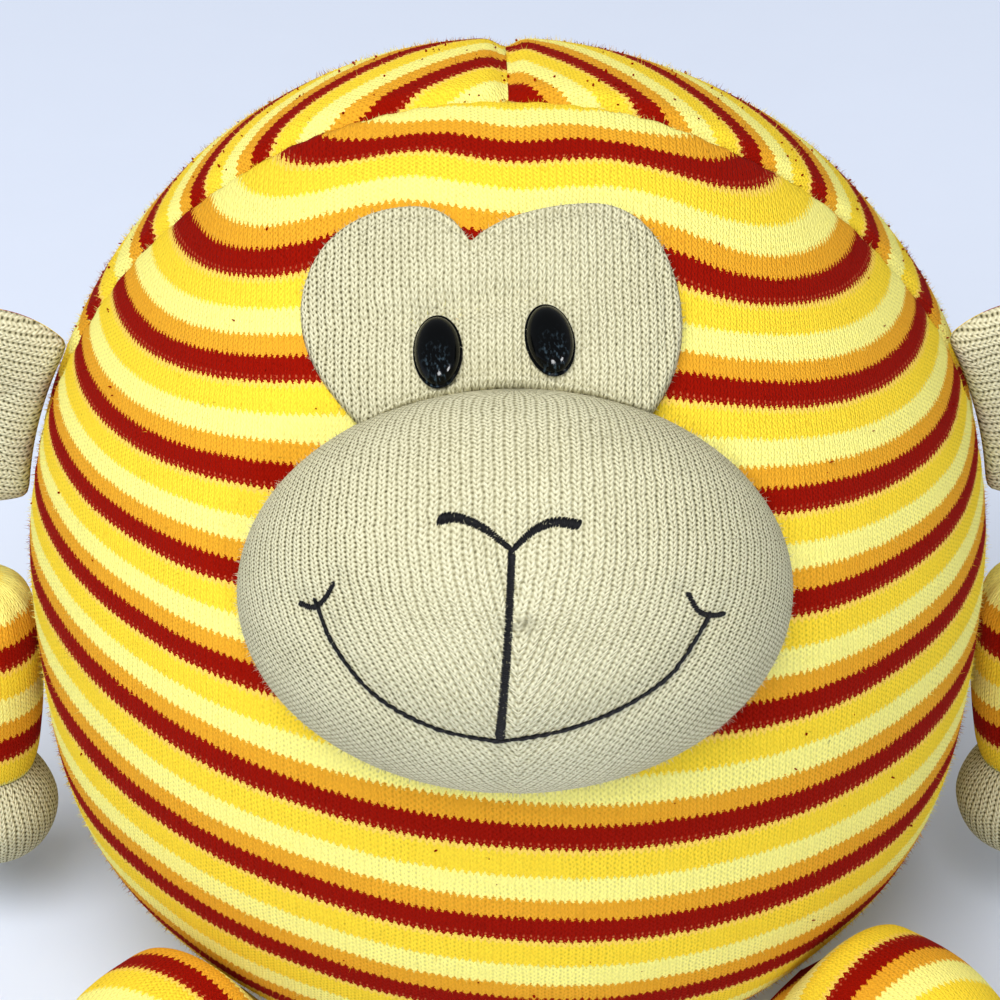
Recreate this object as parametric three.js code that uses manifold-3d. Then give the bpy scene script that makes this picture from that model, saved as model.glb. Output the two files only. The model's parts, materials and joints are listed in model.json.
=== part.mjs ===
// A plush monkey: one striped ball for head and body, with a stuffed muzzle, ears, arms, legs and a tail.
// Millimetres, +Z up, the face towards -Y, the origin at the middle of the flat seat.

import * as THREE from 'three';
import { mergeVertices } from 'three/addons/utils/BufferGeometryUtils.js';
import Module from 'manifold-3d';

const wasm = await Module();
wasm.setup();

// Ball
const BODY_RADIUS = 127;
const CROWN_HEIGHT = 132;
const SEAT_DEPTH = 121;
const SEAT_RADIUS = 48;
const LOWER_FULLNESS = 2.9;
const PANEL_THICKNESS = 2;
const SEWN_GAP = 0.3;

// Face, whose own plane leans back from upright
const FACE_LEAN = 33.6;
const MUZZLE_HALF_WIDTH = 67;
const MUZZLE_HALF_HEIGHT = 49;
const MUZZLE_HALF_DEPTH = 44;
const MUZZLE_SINK = 8;
const MUZZLE_DROP = 15;
const BROW_HALF_WIDTH = 46;
const PATCH_THICKNESS = 2;

// Eyes
const EYE_WIDTH = 12;
const EYE_LENGTH = 18.5;
const EYE_RISE = 5.5;
const EYE_RIM = 0.8;
const EYE_DOME_SHARE = 0.88;
const SHANK_RADIUS = 2;
const SHANK_LENGTH = 15;
const SHANK_CLEARANCE = 0.3;
const WASHER_RADIUS = 8;
const WASHER_THICKNESS = 1.5;
const WASHER_GAP = 1.4;
const EYES = {
  left: { across: -17.7, up: 42.7, tilt: 1 },
  right: { across: 8.5, up: 45.2, tilt: 10 },
};

// Embroidery, whose lines are drawn on the face plane in shares of the muzzle's half width
const NOSE_THREAD = 1.1;
const NOSTRIL_THREAD = 1.3;
const SMILE_THREAD = 0.7;

// Ears
const EAR_LATITUDE = 16;
const EAR_RADIUS = 30;
const EAR_REACH = 46;
const EAR_LAYER = 3.5;
const EAR_ROUNDING = 1.6;
const EAR_ROOT_GAP = 0.7;

// Arms
const ARM_RADIUS = 17;
const ARM_LENGTH = 64;
const ARM_CUFF_RADIUS = 14;
const HAND_RADIUS = 19;
const HAND_LENGTH = 30;
const SHOULDER_HEIGHT = 93;

// Legs
const LEG_RADIUS = 26;
const LEG_LENGTH = 70;
const LEG_CUFF_RADIUS = 20;
const LEG_ROOT_WIDTH = 42;
const LEG_ROOT_TAPER = 20;
const FOOT_RADIUS = 28;
const FOOT_LENGTH = 38;
const LEG_AZIMUTH = { left: 42, right: 46 };
const LEG_BEND = { left: 34, right: 28 };
const THIGH_SHARE = 0.95;

// Tail
const TAIL_RADIUS = 11;
const TAIL_LENGTH = 150;
const TAIL_ROOT_WIDTH = 18;
const TAIL_ROOT_TAPER = 30;
const TAIL_TIP_OPENING = 2;
const TAIL_BEND = 70;
const TAIL_TAPER_SHARE = 0.8;

// What the limbs share
const LIMB_WALL = 1.5;
const LIMB_FILL_GAP = 0.9;
const ROOT_THICKNESS = 4;
const ROOT_SOLID = 14;
const ROOT_GAP = 0.25;
const FLOOR_GAP = 1;
const FINGER_SHARE = 0.72;

// Facets
const BODY_SIDES = 36;
const BODY_STEPS = 8;
const MUZZLE_SIDES = 24;
const MUZZLE_RINGS = 12;
const LIMB_SIDES = 12;
const LIMB_STEPS = 7;
const ROOT_STEPS = 4;
const EYE_SIDES = 16;
const EYE_STEPS = 4;
const THREAD_SIDES = 6;
const THREAD_STEPS = 9;
const FAR = 400;
const MERGE_TOLERANCE = 1e-4;

const CENTRE = new THREE.Vector3(0, 0, SEAT_DEPTH);
const ACROSS = new THREE.Vector3(1, 0, 0);
const UPRIGHT = new THREE.Vector3(0, 0, 1);
const radians = THREE.MathUtils.degToRad;
const FACE_OUT = new THREE.Vector3(0, -Math.cos(radians(FACE_LEAN)), Math.sin(radians(FACE_LEAN)));
const FACE_UP = new THREE.Vector3(0, Math.sin(radians(FACE_LEAN)), Math.cos(radians(FACE_LEAN)));
const SIDES = { left: -1, right: 1 };

const fabrics = {
  stripedKnit: new THREE.MeshStandardMaterial({ color: 0xf0b32c, roughness: 0.95, metalness: 0 }),
  beigeKnit: new THREE.MeshStandardMaterial({ color: 0xcdc3a5, roughness: 0.95, metalness: 0 }),
  filling: new THREE.MeshStandardMaterial({ color: 0xf1efe8, roughness: 1, metalness: 0 }),
  eyePlastic: new THREE.MeshStandardMaterial({ color: 0x06080c, roughness: 0.12, metalness: 0 }),
  washerPlastic: new THREE.MeshStandardMaterial({ color: 0xe6e6e2, roughness: 0.5, metalness: 0 }),
  thread: new THREE.MeshStandardMaterial({ color: 0x0f0f14, roughness: 0.7, metalness: 0 }),
};

// Solids and geometries

function toSolid(geometry) {
  const bare = geometry.clone();
  bare.deleteAttribute('normal');
  bare.deleteAttribute('uv');
  const merged = mergeVertices(bare, MERGE_TOLERANCE);
  const corners = merged.index.array;
  const triangles = [];
  for (let i = 0; i < corners.length; i += 3) {
    const [a, b, c] = [corners[i], corners[i + 1], corners[i + 2]];
    if (a !== b && b !== c && c !== a) {
      triangles.push(a, b, c);
    }
  }
  const vertProperties = new Float32Array(merged.attributes.position.array);
  const triVerts = new Uint32Array(triangles);
  return new wasm.Manifold(new wasm.Mesh({ numProp: 3, vertProperties, triVerts }));
}

function toGeometry(solid) {
  const mesh = solid.getMesh();
  const geometry = new THREE.BufferGeometry();
  geometry.setAttribute('position', new THREE.BufferAttribute(mesh.vertProperties, mesh.numProp));
  geometry.setIndex(new THREE.BufferAttribute(mesh.triVerts, 1));
  geometry.computeVertexNormals();
  return geometry;
}

function named(name, shape, material) {
  const geometry = shape.isBufferGeometry ? shape : toGeometry(shape);
  const mesh = new THREE.Mesh(geometry, material);
  mesh.name = name;
  return mesh;
}

function boxBetween(low, high) {
  const size = new THREE.Vector3().subVectors(high, low);
  const middle = new THREE.Vector3().addVectors(low, high).multiplyScalar(0.5);
  return toSolid(new THREE.BoxGeometry(size.x, size.y, size.z).translate(middle.x, middle.y, middle.z));
}

// A frame seated on a surface: local y points out of it, local x runs across and local z down.
function seatMatrix(point, outward, across) {
  const right = across.clone().addScaledVector(outward, -across.dot(outward)).normalize();
  const down = new THREE.Vector3().crossVectors(right, outward);
  return new THREE.Matrix4().makeBasis(right, outward, down).setPosition(point);
}

// Ball

const LOWER_DEPTH = SEAT_DEPTH / superellipse(SEAT_RADIUS / BODY_RADIUS);

function superellipse(share) {
  return (1 - share ** LOWER_FULLNESS) ** (1 / LOWER_FULLNESS);
}

function lowerRadius(depth) {
  return BODY_RADIUS * superellipse(depth / LOWER_DEPTH);
}

// The outline from the middle of the seat to the crown, moved out by an offset.
function bodyProfile(offset) {
  const radius = BODY_RADIUS + offset;
  const depth = LOWER_DEPTH + offset;
  const seat = SEAT_DEPTH + offset;
  const power = 2 / LOWER_FULLNESS;
  const start = Math.acos((seat / depth) ** (1 / power));
  const points = [new THREE.Vector2(0, -seat)];
  for (let i = 0; i <= BODY_STEPS; i += 1) {
    const turn = start + ((Math.PI / 2 - start) * i) / BODY_STEPS;
    points.push(new THREE.Vector2(radius * Math.sin(turn) ** power, -depth * Math.cos(turn) ** power));
  }
  points[BODY_STEPS + 1].y = 0;
  for (let i = 1; i < BODY_STEPS; i += 1) {
    const turn = (Math.PI / 2) * (i / BODY_STEPS);
    points.push(new THREE.Vector2(radius * Math.cos(turn), (CROWN_HEIGHT + offset) * Math.sin(turn)));
  }
  points.push(new THREE.Vector2(0, CROWN_HEIGHT + offset));
  return points;
}

function bodySolid(offset) {
  const geometry = new THREE.LatheGeometry(bodyProfile(offset), BODY_SIDES);
  geometry.rotateX(Math.PI / 2).translate(CENTRE.x, CENTRE.y, CENTRE.z);
  return toSolid(geometry);
}

// The outward direction of the upper half at a point given from the ball's centre.
function upperNormal(point) {
  const across = BODY_RADIUS ** 2;
  return new THREE.Vector3(point.x / across, point.y / across, point.z / CROWN_HEIGHT ** 2).normalize();
}

// The outward direction of the lower half in its profile, as radial and vertical parts.
function lowerNormal(depth) {
  const power = LOWER_FULLNESS - 1;
  const radial = (lowerRadius(depth) / BODY_RADIUS) ** power / BODY_RADIUS;
  const downward = (depth / LOWER_DEPTH) ** power / LOWER_DEPTH;
  return new THREE.Vector2(radial, -downward).normalize();
}

// The place on an ellipsoid that a line along `direction` from `from` leaves by.
function exitPoint(from, direction, semiAxes) {
  const start = from.clone().divide(semiAxes);
  const step = direction.clone().divide(semiAxes);
  const a = step.dot(step);
  const b = start.dot(step);
  const c = start.dot(start) - 1;
  return from.clone().addScaledVector(direction, (Math.sqrt(b * b - a * c) - b) / a);
}

// A face-plane place carried out to the ball, with the direction the surface faces there.
function onBall(across, up) {
  const from = ACROSS.clone().multiplyScalar(across).addScaledVector(FACE_UP, up);
  const semiAxes = new THREE.Vector3(BODY_RADIUS, BODY_RADIUS, CROWN_HEIGHT);
  const local = exitPoint(from, FACE_OUT, semiAxes);
  return { point: local.clone().add(CENTRE), normal: upperNormal(local) };
}

function eyeSeat({ across, up, tilt }) {
  const { point, normal } = onBall(across, up);
  const turn = new THREE.Matrix4().makeRotationY(radians(tilt));
  return seatMatrix(point, normal, ACROSS).multiply(turn);
}

function shankHole(eye, radius, from, to) {
  const hole = new THREE.CylinderGeometry(radius, radius, to - from, EYE_SIDES);
  hole.translate(0, (from + to) / 2, 0).applyMatrix4(eyeSeat(eye));
  return toSolid(hole);
}

function bodyPanels() {
  const half = SEWN_GAP / 2;
  const opening = new THREE.CylinderGeometry(SEAT_RADIUS, SEAT_RADIUS, 3 * PANEL_THICKNESS, BODY_SIDES);
  opening.rotateX(Math.PI / 2);
  let shell = bodySolid(0).subtract(bodySolid(-PANEL_THICKNESS)).subtract(toSolid(opening));
  for (const eye of Object.values(EYES)) {
    shell = shell.subtract(shankHole(eye, SHANK_RADIUS + SHANK_CLEARANCE, -SHANK_LENGTH, SHANK_LENGTH));
  }
  const front = boxBetween(new THREE.Vector3(-FAR, -FAR, -FAR), new THREE.Vector3(FAR, -half, FAR));
  const left = boxBetween(new THREE.Vector3(-FAR, half, -FAR), new THREE.Vector3(-half, FAR, FAR));
  const right = boxBetween(new THREE.Vector3(half, half, -FAR), new THREE.Vector3(FAR, FAR, FAR));
  return [
    named('front_panel', shell.intersect(front), fabrics.stripedKnit),
    named('back_panel_left', shell.intersect(left), fabrics.stripedKnit),
    named('back_panel_right', shell.intersect(right), fabrics.stripedKnit),
  ];
}

function basePanel() {
  const radius = SEAT_RADIUS - SEWN_GAP;
  const disc = new THREE.CylinderGeometry(radius, radius, PANEL_THICKNESS, BODY_SIDES);
  disc.rotateX(Math.PI / 2).translate(0, 0, PANEL_THICKNESS / 2);
  return named('base_panel', disc, fabrics.stripedKnit);
}

function bodyStuffing() {
  const washerFloor = -PANEL_THICKNESS - WASHER_GAP - WASHER_THICKNESS - SEWN_GAP;
  let filling = bodySolid(-PANEL_THICKNESS - SEWN_GAP);
  for (const eye of Object.values(EYES)) {
    filling = filling.subtract(shankHole(eye, WASHER_RADIUS + SEWN_GAP, washerFloor, PANEL_THICKNESS));
    filling = filling.subtract(shankHole(eye, SHANK_RADIUS + SHANK_CLEARANCE, -SHANK_LENGTH, 0));
  }
  return named('body_stuffing', filling, fabrics.filling);
}

// Face

const MUZZLE = onBall(0, -MUZZLE_DROP);
const MUZZLE_SEAT = seatMatrix(MUZZLE.point, MUZZLE.normal, ACROSS);

function muzzleSolid(offset) {
  const geometry = new THREE.SphereGeometry(1, MUZZLE_SIDES, MUZZLE_RINGS);
  geometry.scale(MUZZLE_HALF_WIDTH + offset, MUZZLE_HALF_DEPTH + offset, MUZZLE_HALF_HEIGHT + offset);
  geometry.translate(0, -MUZZLE_SINK, 0).applyMatrix4(MUZZLE_SEAT);
  return toSolid(geometry);
}

function muzzle() {
  const behind = bodySolid(SEWN_GAP);
  const cover = muzzleSolid(0).subtract(muzzleSolid(-PANEL_THICKNESS)).subtract(behind);
  const filling = muzzleSolid(-PANEL_THICKNESS - SEWN_GAP).subtract(behind);
  return [
    named('muzzle_cover', cover, fabrics.beigeKnit),
    named('muzzle_stuffing', filling, fabrics.filling),
  ];
}

function browOutline() {
  const size = BROW_HALF_WIDTH;
  const start = [0.565, 0.435];
  const curves = [
    [0.804, 0.674, 0.902, 0.891, 0.891, 1.13],
    [0.88, 1.478, 0.696, 1.728, 0.435, 1.728],
    [0.174, 1.728, -0.087, 1.652, -0.217, 1.511],
    [-0.283, 1.63, -0.37, 1.707, -0.522, 1.707],
    [-0.87, 1.707, -1.087, 1.478, -1.109, 1.196],
    [-1.12, 0.935, -0.978, 0.717, -0.674, 0.435],
  ];
  const outline = new THREE.Shape();
  outline.moveTo(...start.map((share) => share * size));
  for (const curve of curves) {
    outline.bezierCurveTo(...curve.map((share) => share * size));
  }
  outline.closePath();
  return outline;
}

function browPatch() {
  const options = { depth: 2 * BODY_RADIUS, bevelEnabled: false, curveSegments: 4 };
  const prism = new THREE.ExtrudeGeometry(browOutline(), options);
  prism.applyMatrix4(new THREE.Matrix4().makeBasis(ACROSS, FACE_UP, FACE_OUT).setPosition(CENTRE));
  let patch = toSolid(prism).intersect(bodySolid(SEWN_GAP + PATCH_THICKNESS));
  patch = patch.subtract(bodySolid(SEWN_GAP)).subtract(muzzleSolid(SEWN_GAP));
  for (const eye of Object.values(EYES)) {
    patch = patch.subtract(shankHole(eye, SHANK_RADIUS + SHANK_CLEARANCE, -SHANK_LENGTH, SHANK_LENGTH));
  }
  return named('brow_patch', patch, fabrics.beigeKnit);
}

// A domed oval on a thin rim, with the shank that goes through the cloth.
function eye(side) {
  const base = SEWN_GAP + PATCH_THICKNESS + SEWN_GAP;
  const dome = [new THREE.Vector2(0, 0), new THREE.Vector2(1, 0), new THREE.Vector2(1, EYE_RIM)];
  for (let i = 0; i <= EYE_STEPS; i += 1) {
    const turn = (Math.PI / 2) * (i / EYE_STEPS);
    const height = EYE_RIM + (EYE_RISE - EYE_RIM) * Math.sin(turn);
    dome.push(new THREE.Vector2(EYE_DOME_SHARE * Math.cos(turn), height));
  }
  dome[dome.length - 1].x = 0;
  const button = new THREE.LatheGeometry(dome, EYE_SIDES);
  button.scale(EYE_WIDTH / 2, 1, EYE_LENGTH / 2).translate(0, base, 0);
  const shank = new THREE.CylinderGeometry(SHANK_RADIUS, SHANK_RADIUS, SHANK_LENGTH, EYE_SIDES);
  shank.translate(0, base + EYE_RIM - SHANK_LENGTH / 2, 0);
  const mesh = named(`eye_${side}`, toSolid(button).add(toSolid(shank)), fabrics.eyePlastic);
  mesh.applyMatrix4(eyeSeat(EYES[side]));
  return mesh;
}

function eyeWasher(side) {
  const inner = SHANK_RADIUS + SHANK_CLEARANCE;
  const top = -PANEL_THICKNESS - WASHER_GAP;
  const bottom = top - WASHER_THICKNESS;
  const section = [
    new THREE.Vector2(inner, bottom),
    new THREE.Vector2(WASHER_RADIUS, bottom),
    new THREE.Vector2(WASHER_RADIUS, top),
    new THREE.Vector2(inner, top),
    new THREE.Vector2(inner, bottom),
  ];
  const ring = new THREE.LatheGeometry(section, EYE_SIDES);
  const mesh = named(`eye_washer_${side}`, ring, fabrics.washerPlastic);
  mesh.applyMatrix4(eyeSeat(EYES[side]));
  return mesh;
}

// A face-plane place carried out to the muzzle and lifted clear of it.
function onMuzzle(place, lift) {
  const semiAxes = new THREE.Vector3(MUZZLE_HALF_WIDTH, MUZZLE_HALF_DEPTH, MUZZLE_HALF_HEIGHT);
  const inwards = MUZZLE_SEAT.clone().invert();
  const from = CENTRE.clone().addScaledVector(ACROSS, place.x).addScaledVector(FACE_UP, place.y);
  const local = from.applyMatrix4(inwards);
  local.y += MUZZLE_SINK;
  const direction = FACE_OUT.clone().transformDirection(inwards);
  const point = exitPoint(local, direction, semiAxes);
  const normal = point.clone().divide(semiAxes).divide(semiAxes).normalize();
  point.addScaledVector(normal, lift);
  point.y -= MUZZLE_SINK;
  return point.applyMatrix4(MUZZLE_SEAT);
}

// A line of thread that lies on the muzzle.
function threadLine(places, thickness) {
  const drawn = new THREE.SplineCurve(places.map((place) => {
    return new THREE.Vector2(...place).multiplyScalar(MUZZLE_HALF_WIDTH);
  }));
  const points = drawn.getSpacedPoints(THREAD_STEPS).map((place) => onMuzzle(place, thickness + SEWN_GAP));
  const round = new THREE.Shape().absarc(0, 0, thickness, 0, 2 * Math.PI, false);
  const section = new THREE.Shape(round.getSpacedPoints(THREAD_SIDES).slice(0, THREAD_SIDES));
  const extrudePath = new THREE.CatmullRomCurve3(points);
  return toSolid(new THREE.ExtrudeGeometry(section, { steps: THREAD_STEPS, extrudePath }));
}

function embroidery() {
  const nose = threadLine([[-0.01, -0.097], [-0.034, -0.388], [-0.061, -0.687]], NOSE_THREAD);
  const nostrilLeft = threadLine([[-0.26, 0.043], [-0.121, 0.024], [-0.03, -0.045]], NOSTRIL_THREAD);
  const nostrilRight = threadLine([[0.218, 0.018], [0.104, 0.018], [0.015, -0.045]], NOSTRIL_THREAD);
  const smileLeft = threadLine(
    [[-0.697, -0.237], [-0.637, -0.382], [-0.5, -0.552], [-0.293, -0.672], [-0.09, -0.716]],
    SMILE_THREAD,
  );
  const smileRight = threadLine(
    [[-0.03, -0.716], [0.155, -0.684], [0.363, -0.604], [0.537, -0.485], [0.664, -0.296]],
    SMILE_THREAD,
  );
  const cornerLeft = threadLine(
    [[-0.758, -0.234], [-0.707, -0.249], [-0.666, -0.215], [-0.637, -0.164]],
    SMILE_THREAD,
  );
  const cornerRight = threadLine(
    [[0.593, -0.209], [0.627, -0.269], [0.672, -0.288], [0.724, -0.284]],
    SMILE_THREAD,
  );
  return [
    named('nose_stitch', nose, fabrics.thread),
    named('nostril_stitch_left', nostrilLeft, fabrics.thread),
    named('nostril_stitch_right', nostrilRight, fabrics.thread),
    named('smile_stitch_left', smileLeft.add(cornerLeft), fabrics.thread),
    named('smile_stitch_right', smileRight.add(cornerRight), fabrics.thread),
  ];
}

// Ears

// A disc whose root follows the ball, drawn with the root at the origin and the ear along +y.
function earOutline() {
  const rootRadius = BODY_RADIUS + EAR_ROOT_GAP;
  const middle = EAR_REACH - EAR_RADIUS;
  const apart = BODY_RADIUS + middle;
  const alongApart = (apart ** 2 + rootRadius ** 2 - EAR_RADIUS ** 2) / (2 * apart);
  const halfRoot = Math.sqrt(rootRadius ** 2 - alongApart ** 2);
  const discTurn = Math.atan2(alongApart - apart, halfRoot);
  const rootTurn = Math.atan2(alongApart, halfRoot);
  const outline = new THREE.Shape();
  outline.absarc(0, middle, EAR_RADIUS, discTurn, Math.PI - discTurn, false);
  outline.absarc(0, -BODY_RADIUS, rootRadius, Math.PI - rootTurn, rootTurn, true);
  return outline;
}

function ear(side) {
  const latitude = radians(EAR_LATITUDE);
  const root = new THREE.Vector3(BODY_RADIUS * Math.cos(latitude), 0, CROWN_HEIGHT * Math.sin(latitude));
  root.x *= SIDES[side];
  const outward = upperNormal(root);
  const backward = new THREE.Vector3(0, SIDES[side], 0);
  const along = new THREE.Vector3().crossVectors(outward, backward);
  const options = {
    depth: EAR_LAYER - 2 * EAR_ROUNDING,
    bevelThickness: EAR_ROUNDING,
    bevelSize: EAR_ROUNDING,
    bevelOffset: -EAR_ROUNDING,
    bevelSegments: 2,
    curveSegments: 7,
  };
  const group = new THREE.Group();
  new THREE.Matrix4()
    .makeBasis(along, outward, backward)
    .setPosition(root.add(CENTRE))
    .decompose(group.position, group.quaternion, group.scale);
  const layers = [['front', fabrics.beigeKnit, -SIDES[side]], ['back', fabrics.stripedKnit, SIDES[side]]];
  for (const [layer, material, direction] of layers) {
    const pad = new THREE.ExtrudeGeometry(earOutline(), options);
    pad.translate(0, 0, EAR_ROUNDING - EAR_LAYER / 2 + (direction * (EAR_LAYER + SEWN_GAP)) / 2);
    group.add(named(`ear_${layer}_${side}`, toSolid(pad), material));
  }
  return group;
}

// Limbs

// Round outline of a limb's cloth along its length, from a rounded root through stations given as
// a share of the length and a radius, the last of them at the cuff.
function limbRadii(rootRadius, rootDepth, length, stations) {
  const points = [];
  for (let i = 0; i <= ROOT_STEPS; i += 1) {
    const turn = (Math.PI / 2) * (i / ROOT_STEPS);
    points.push(new THREE.Vector2(rootRadius * Math.sin(turn), rootDepth * (1 - Math.cos(turn))));
  }
  const places = stations.map(([share, radius]) => {
    return new THREE.Vector2(radius, rootDepth + share * (length - rootDepth));
  });
  const along = new THREE.SplineCurve([points[points.length - 1], ...places]);
  points.push(...along.getPoints(LIMB_STEPS).slice(1));
  points[0].x = 0;
  return points;
}

function radiusAt(profile, distance) {
  const next = profile.findIndex((point) => point.y >= distance);
  const before = profile[Math.max(next - 1, 0)];
  const after = profile[next];
  const share = after.y > before.y ? (distance - before.y) / (after.y - before.y) : 0;
  return before.x + (after.x - before.x) * share;
}

// A solid inside a limb's outline, smaller by an inset, that starts after the root and ends about the cuff.
function insideLimb(profile, length, inset, startGap, endGap) {
  const points = [new THREE.Vector2(0, ROOT_SOLID + startGap)];
  for (let i = 0; i <= LIMB_STEPS; i += 1) {
    const distance = ROOT_SOLID + ((length - ROOT_SOLID) * i) / LIMB_STEPS;
    const radius = radiusAt(profile, Math.max(distance, ROOT_SOLID + startGap)) - inset;
    points.push(new THREE.Vector2(radius, Math.max(distance, ROOT_SOLID + startGap)));
  }
  points[points.length - 1].y = length - endGap;
  points.push(new THREE.Vector2(0, length - endGap));
  return new THREE.LatheGeometry(points, LIMB_SIDES);
}

// A limb's cloth, open at the cuff, and the stuffing in it, both put through the same shaping.
function limbPieces(profile, length, shape) {
  const outside = new THREE.LatheGeometry([...profile, new THREE.Vector2(0, length)], LIMB_SIDES);
  const hollow = insideLimb(profile, length, LIMB_WALL, 0, -LIMB_WALL);
  const filling = insideLimb(profile, length, LIMB_WALL + LIMB_FILL_GAP, LIMB_FILL_GAP, LIMB_FILL_GAP);
  const cover = toSolid(shape(outside)).subtract(toSolid(shape(hollow)));
  return { cover, filling: toSolid(shape(filling)) };
}

// A rounded hand or foot that closes the cuff.
function limbEnd(cuff, swell, length, end) {
  const start = length + SEWN_GAP;
  const along = new THREE.SplineCurve([
    new THREE.Vector2(cuff, start),
    new THREE.Vector2(swell, start + 0.45 * end),
    new THREE.Vector2(FINGER_SHARE * swell, start + 0.86 * end),
    new THREE.Vector2(0, start + end),
  ]);
  const outline = along.getPoints(LIMB_STEPS);
  outline[LIMB_STEPS].x = 0;
  return new THREE.LatheGeometry([new THREE.Vector2(0, start), ...outline], LIMB_SIDES);
}

// Presses the root of a limb flat, from a thin sewn edge to its full round.
function flattenRoot(geometry, rootWidth, taper) {
  const position = geometry.attributes.position;
  const thinnest = ROOT_THICKNESS / rootWidth;
  for (let i = 0; i < position.count; i += 1) {
    const share = THREE.MathUtils.smoothstep(position.getY(i), ROOT_THICKNESS / 2, taper);
    position.setZ(i, position.getZ(i) * THREE.MathUtils.lerp(thinnest, 1, share));
  }
  return geometry;
}

// Bends a limb sideways along an even arc, so that its end has turned by the whole angle.
function bendSideways(geometry, angle, length) {
  const position = geometry.attributes.position;
  const arcRadius = length / radians(angle);
  for (let i = 0; i < position.count; i += 1) {
    const turn = position.getY(i) / arcRadius;
    const reach = arcRadius - position.getX(i);
    position.setX(i, arcRadius - reach * Math.cos(turn));
    position.setY(i, reach * Math.sin(turn));
  }
  return geometry;
}

// Lays a limb beside the lower half of the ball with its middle at a height above the floor:
// local y runs outwards and local z down. The round of its root lies just clear of the ball.
function layBesideBall(group, azimuth, height) {
  const rootDepth = ROOT_THICKNESS / 2;
  const clear = ROOT_GAP + rootDepth;
  const depth = SEAT_DEPTH - height + lowerNormal(SEAT_DEPTH - height).y * clear;
  const reach = lowerRadius(depth) + lowerNormal(depth).x * clear - rootDepth;
  const outward = new THREE.Vector3(Math.sin(azimuth), -Math.cos(azimuth), 0);
  const down = UPRIGHT.clone().negate();
  const across = new THREE.Vector3().crossVectors(outward, down);
  new THREE.Matrix4()
    .makeBasis(across, outward, down)
    .setPosition(outward.x * reach, outward.y * reach, height)
    .decompose(group.position, group.quaternion, group.scale);
}

function leg(side) {
  const sign = SIDES[side];
  const whole = LEG_LENGTH + SEWN_GAP + FOOT_LENGTH;
  const stations = [[0.3, THIGH_SHARE * LEG_RADIUS], [0.6, LEG_RADIUS], [1, LEG_CUFF_RADIUS]];
  const profile = limbRadii(LEG_ROOT_WIDTH / 2, ROOT_THICKNESS / 2, LEG_LENGTH, stations);
  const shape = (geometry) => {
    flattenRoot(geometry, LEG_ROOT_WIDTH, LEG_ROOT_TAPER);
    return bendSideways(geometry, -sign * LEG_BEND[side], whole);
  };
  const { cover, filling } = limbPieces(profile, LEG_LENGTH, shape);
  const foot = limbEnd(LEG_CUFF_RADIUS, FOOT_RADIUS, LEG_LENGTH, FOOT_LENGTH);
  const group = new THREE.Group();
  group.add(named(`leg_cover_${side}`, cover, fabrics.stripedKnit));
  group.add(named(`leg_stuffing_${side}`, filling, fabrics.filling));
  group.add(named(`foot_${side}`, toSolid(shape(foot)), fabrics.beigeKnit));
  layBesideBall(group, sign * radians(LEG_AZIMUTH[side]), FOOT_RADIUS + FLOOR_GAP);
  return group;
}

function tail() {
  const tipRadius = TAIL_TIP_OPENING + LIMB_WALL + LIMB_FILL_GAP;
  const taperRadius = TAIL_TAPER_SHARE * TAIL_RADIUS;
  const stations = [[0.25, TAIL_RADIUS], [0.7, TAIL_RADIUS], [0.93, taperRadius], [1, tipRadius]];
  const profile = limbRadii(TAIL_ROOT_WIDTH / 2, ROOT_THICKNESS / 2, TAIL_LENGTH, stations);
  const shape = (geometry) => {
    flattenRoot(geometry, TAIL_ROOT_WIDTH, TAIL_ROOT_TAPER);
    return bendSideways(geometry, TAIL_BEND, TAIL_LENGTH);
  };
  const { cover, filling } = limbPieces(profile, TAIL_LENGTH, shape);
  const group = new THREE.Group();
  group.add(named('tail_cover', cover, fabrics.stripedKnit));
  group.add(named('tail_stuffing', filling, fabrics.filling));
  layBesideBall(group, Math.PI, TAIL_RADIUS + FLOOR_GAP);
  return group;
}

function arm(side) {
  const stations = [[0.5, ARM_RADIUS], [1, ARM_CUFF_RADIUS]];
  const profile = limbRadii(ARM_RADIUS, ARM_RADIUS, ARM_LENGTH, stations);
  const { cover, filling } = limbPieces(profile, ARM_LENGTH, (geometry) => geometry);
  const hand = limbEnd(ARM_CUFF_RADIUS, HAND_RADIUS, ARM_LENGTH, HAND_LENGTH);
  const group = new THREE.Group();
  group.add(named(`arm_cover_${side}`, cover, fabrics.stripedKnit));
  group.add(named(`arm_stuffing_${side}`, filling, fabrics.filling));
  group.add(named(`hand_${side}`, toSolid(hand), fabrics.beigeKnit));
  group.rotation.x = -Math.PI / 2;
  const reach = lowerRadius(SEAT_DEPTH - SHOULDER_HEIGHT) + ROOT_GAP + ARM_RADIUS;
  group.position.set(SIDES[side] * reach, 0, SHOULDER_HEIGHT + ARM_RADIUS);
  return group;
}

const monkey = new THREE.Group();
monkey.add(...bodyPanels(), basePanel(), bodyStuffing());
monkey.add(...muzzle(), browPatch(), ...embroidery());
for (const side of Object.keys(SIDES)) {
  monkey.add(eye(side), eyeWasher(side), ear(side), arm(side), leg(side));
}
monkey.add(tail());

export default monkey;
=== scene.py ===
import json
import math
import random
import bmesh
import bpy
from mathutils import Matrix, Vector, noise
from mathutils.bvhtree import BVHTree
from mathutils.kdtree import KDTree


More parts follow.
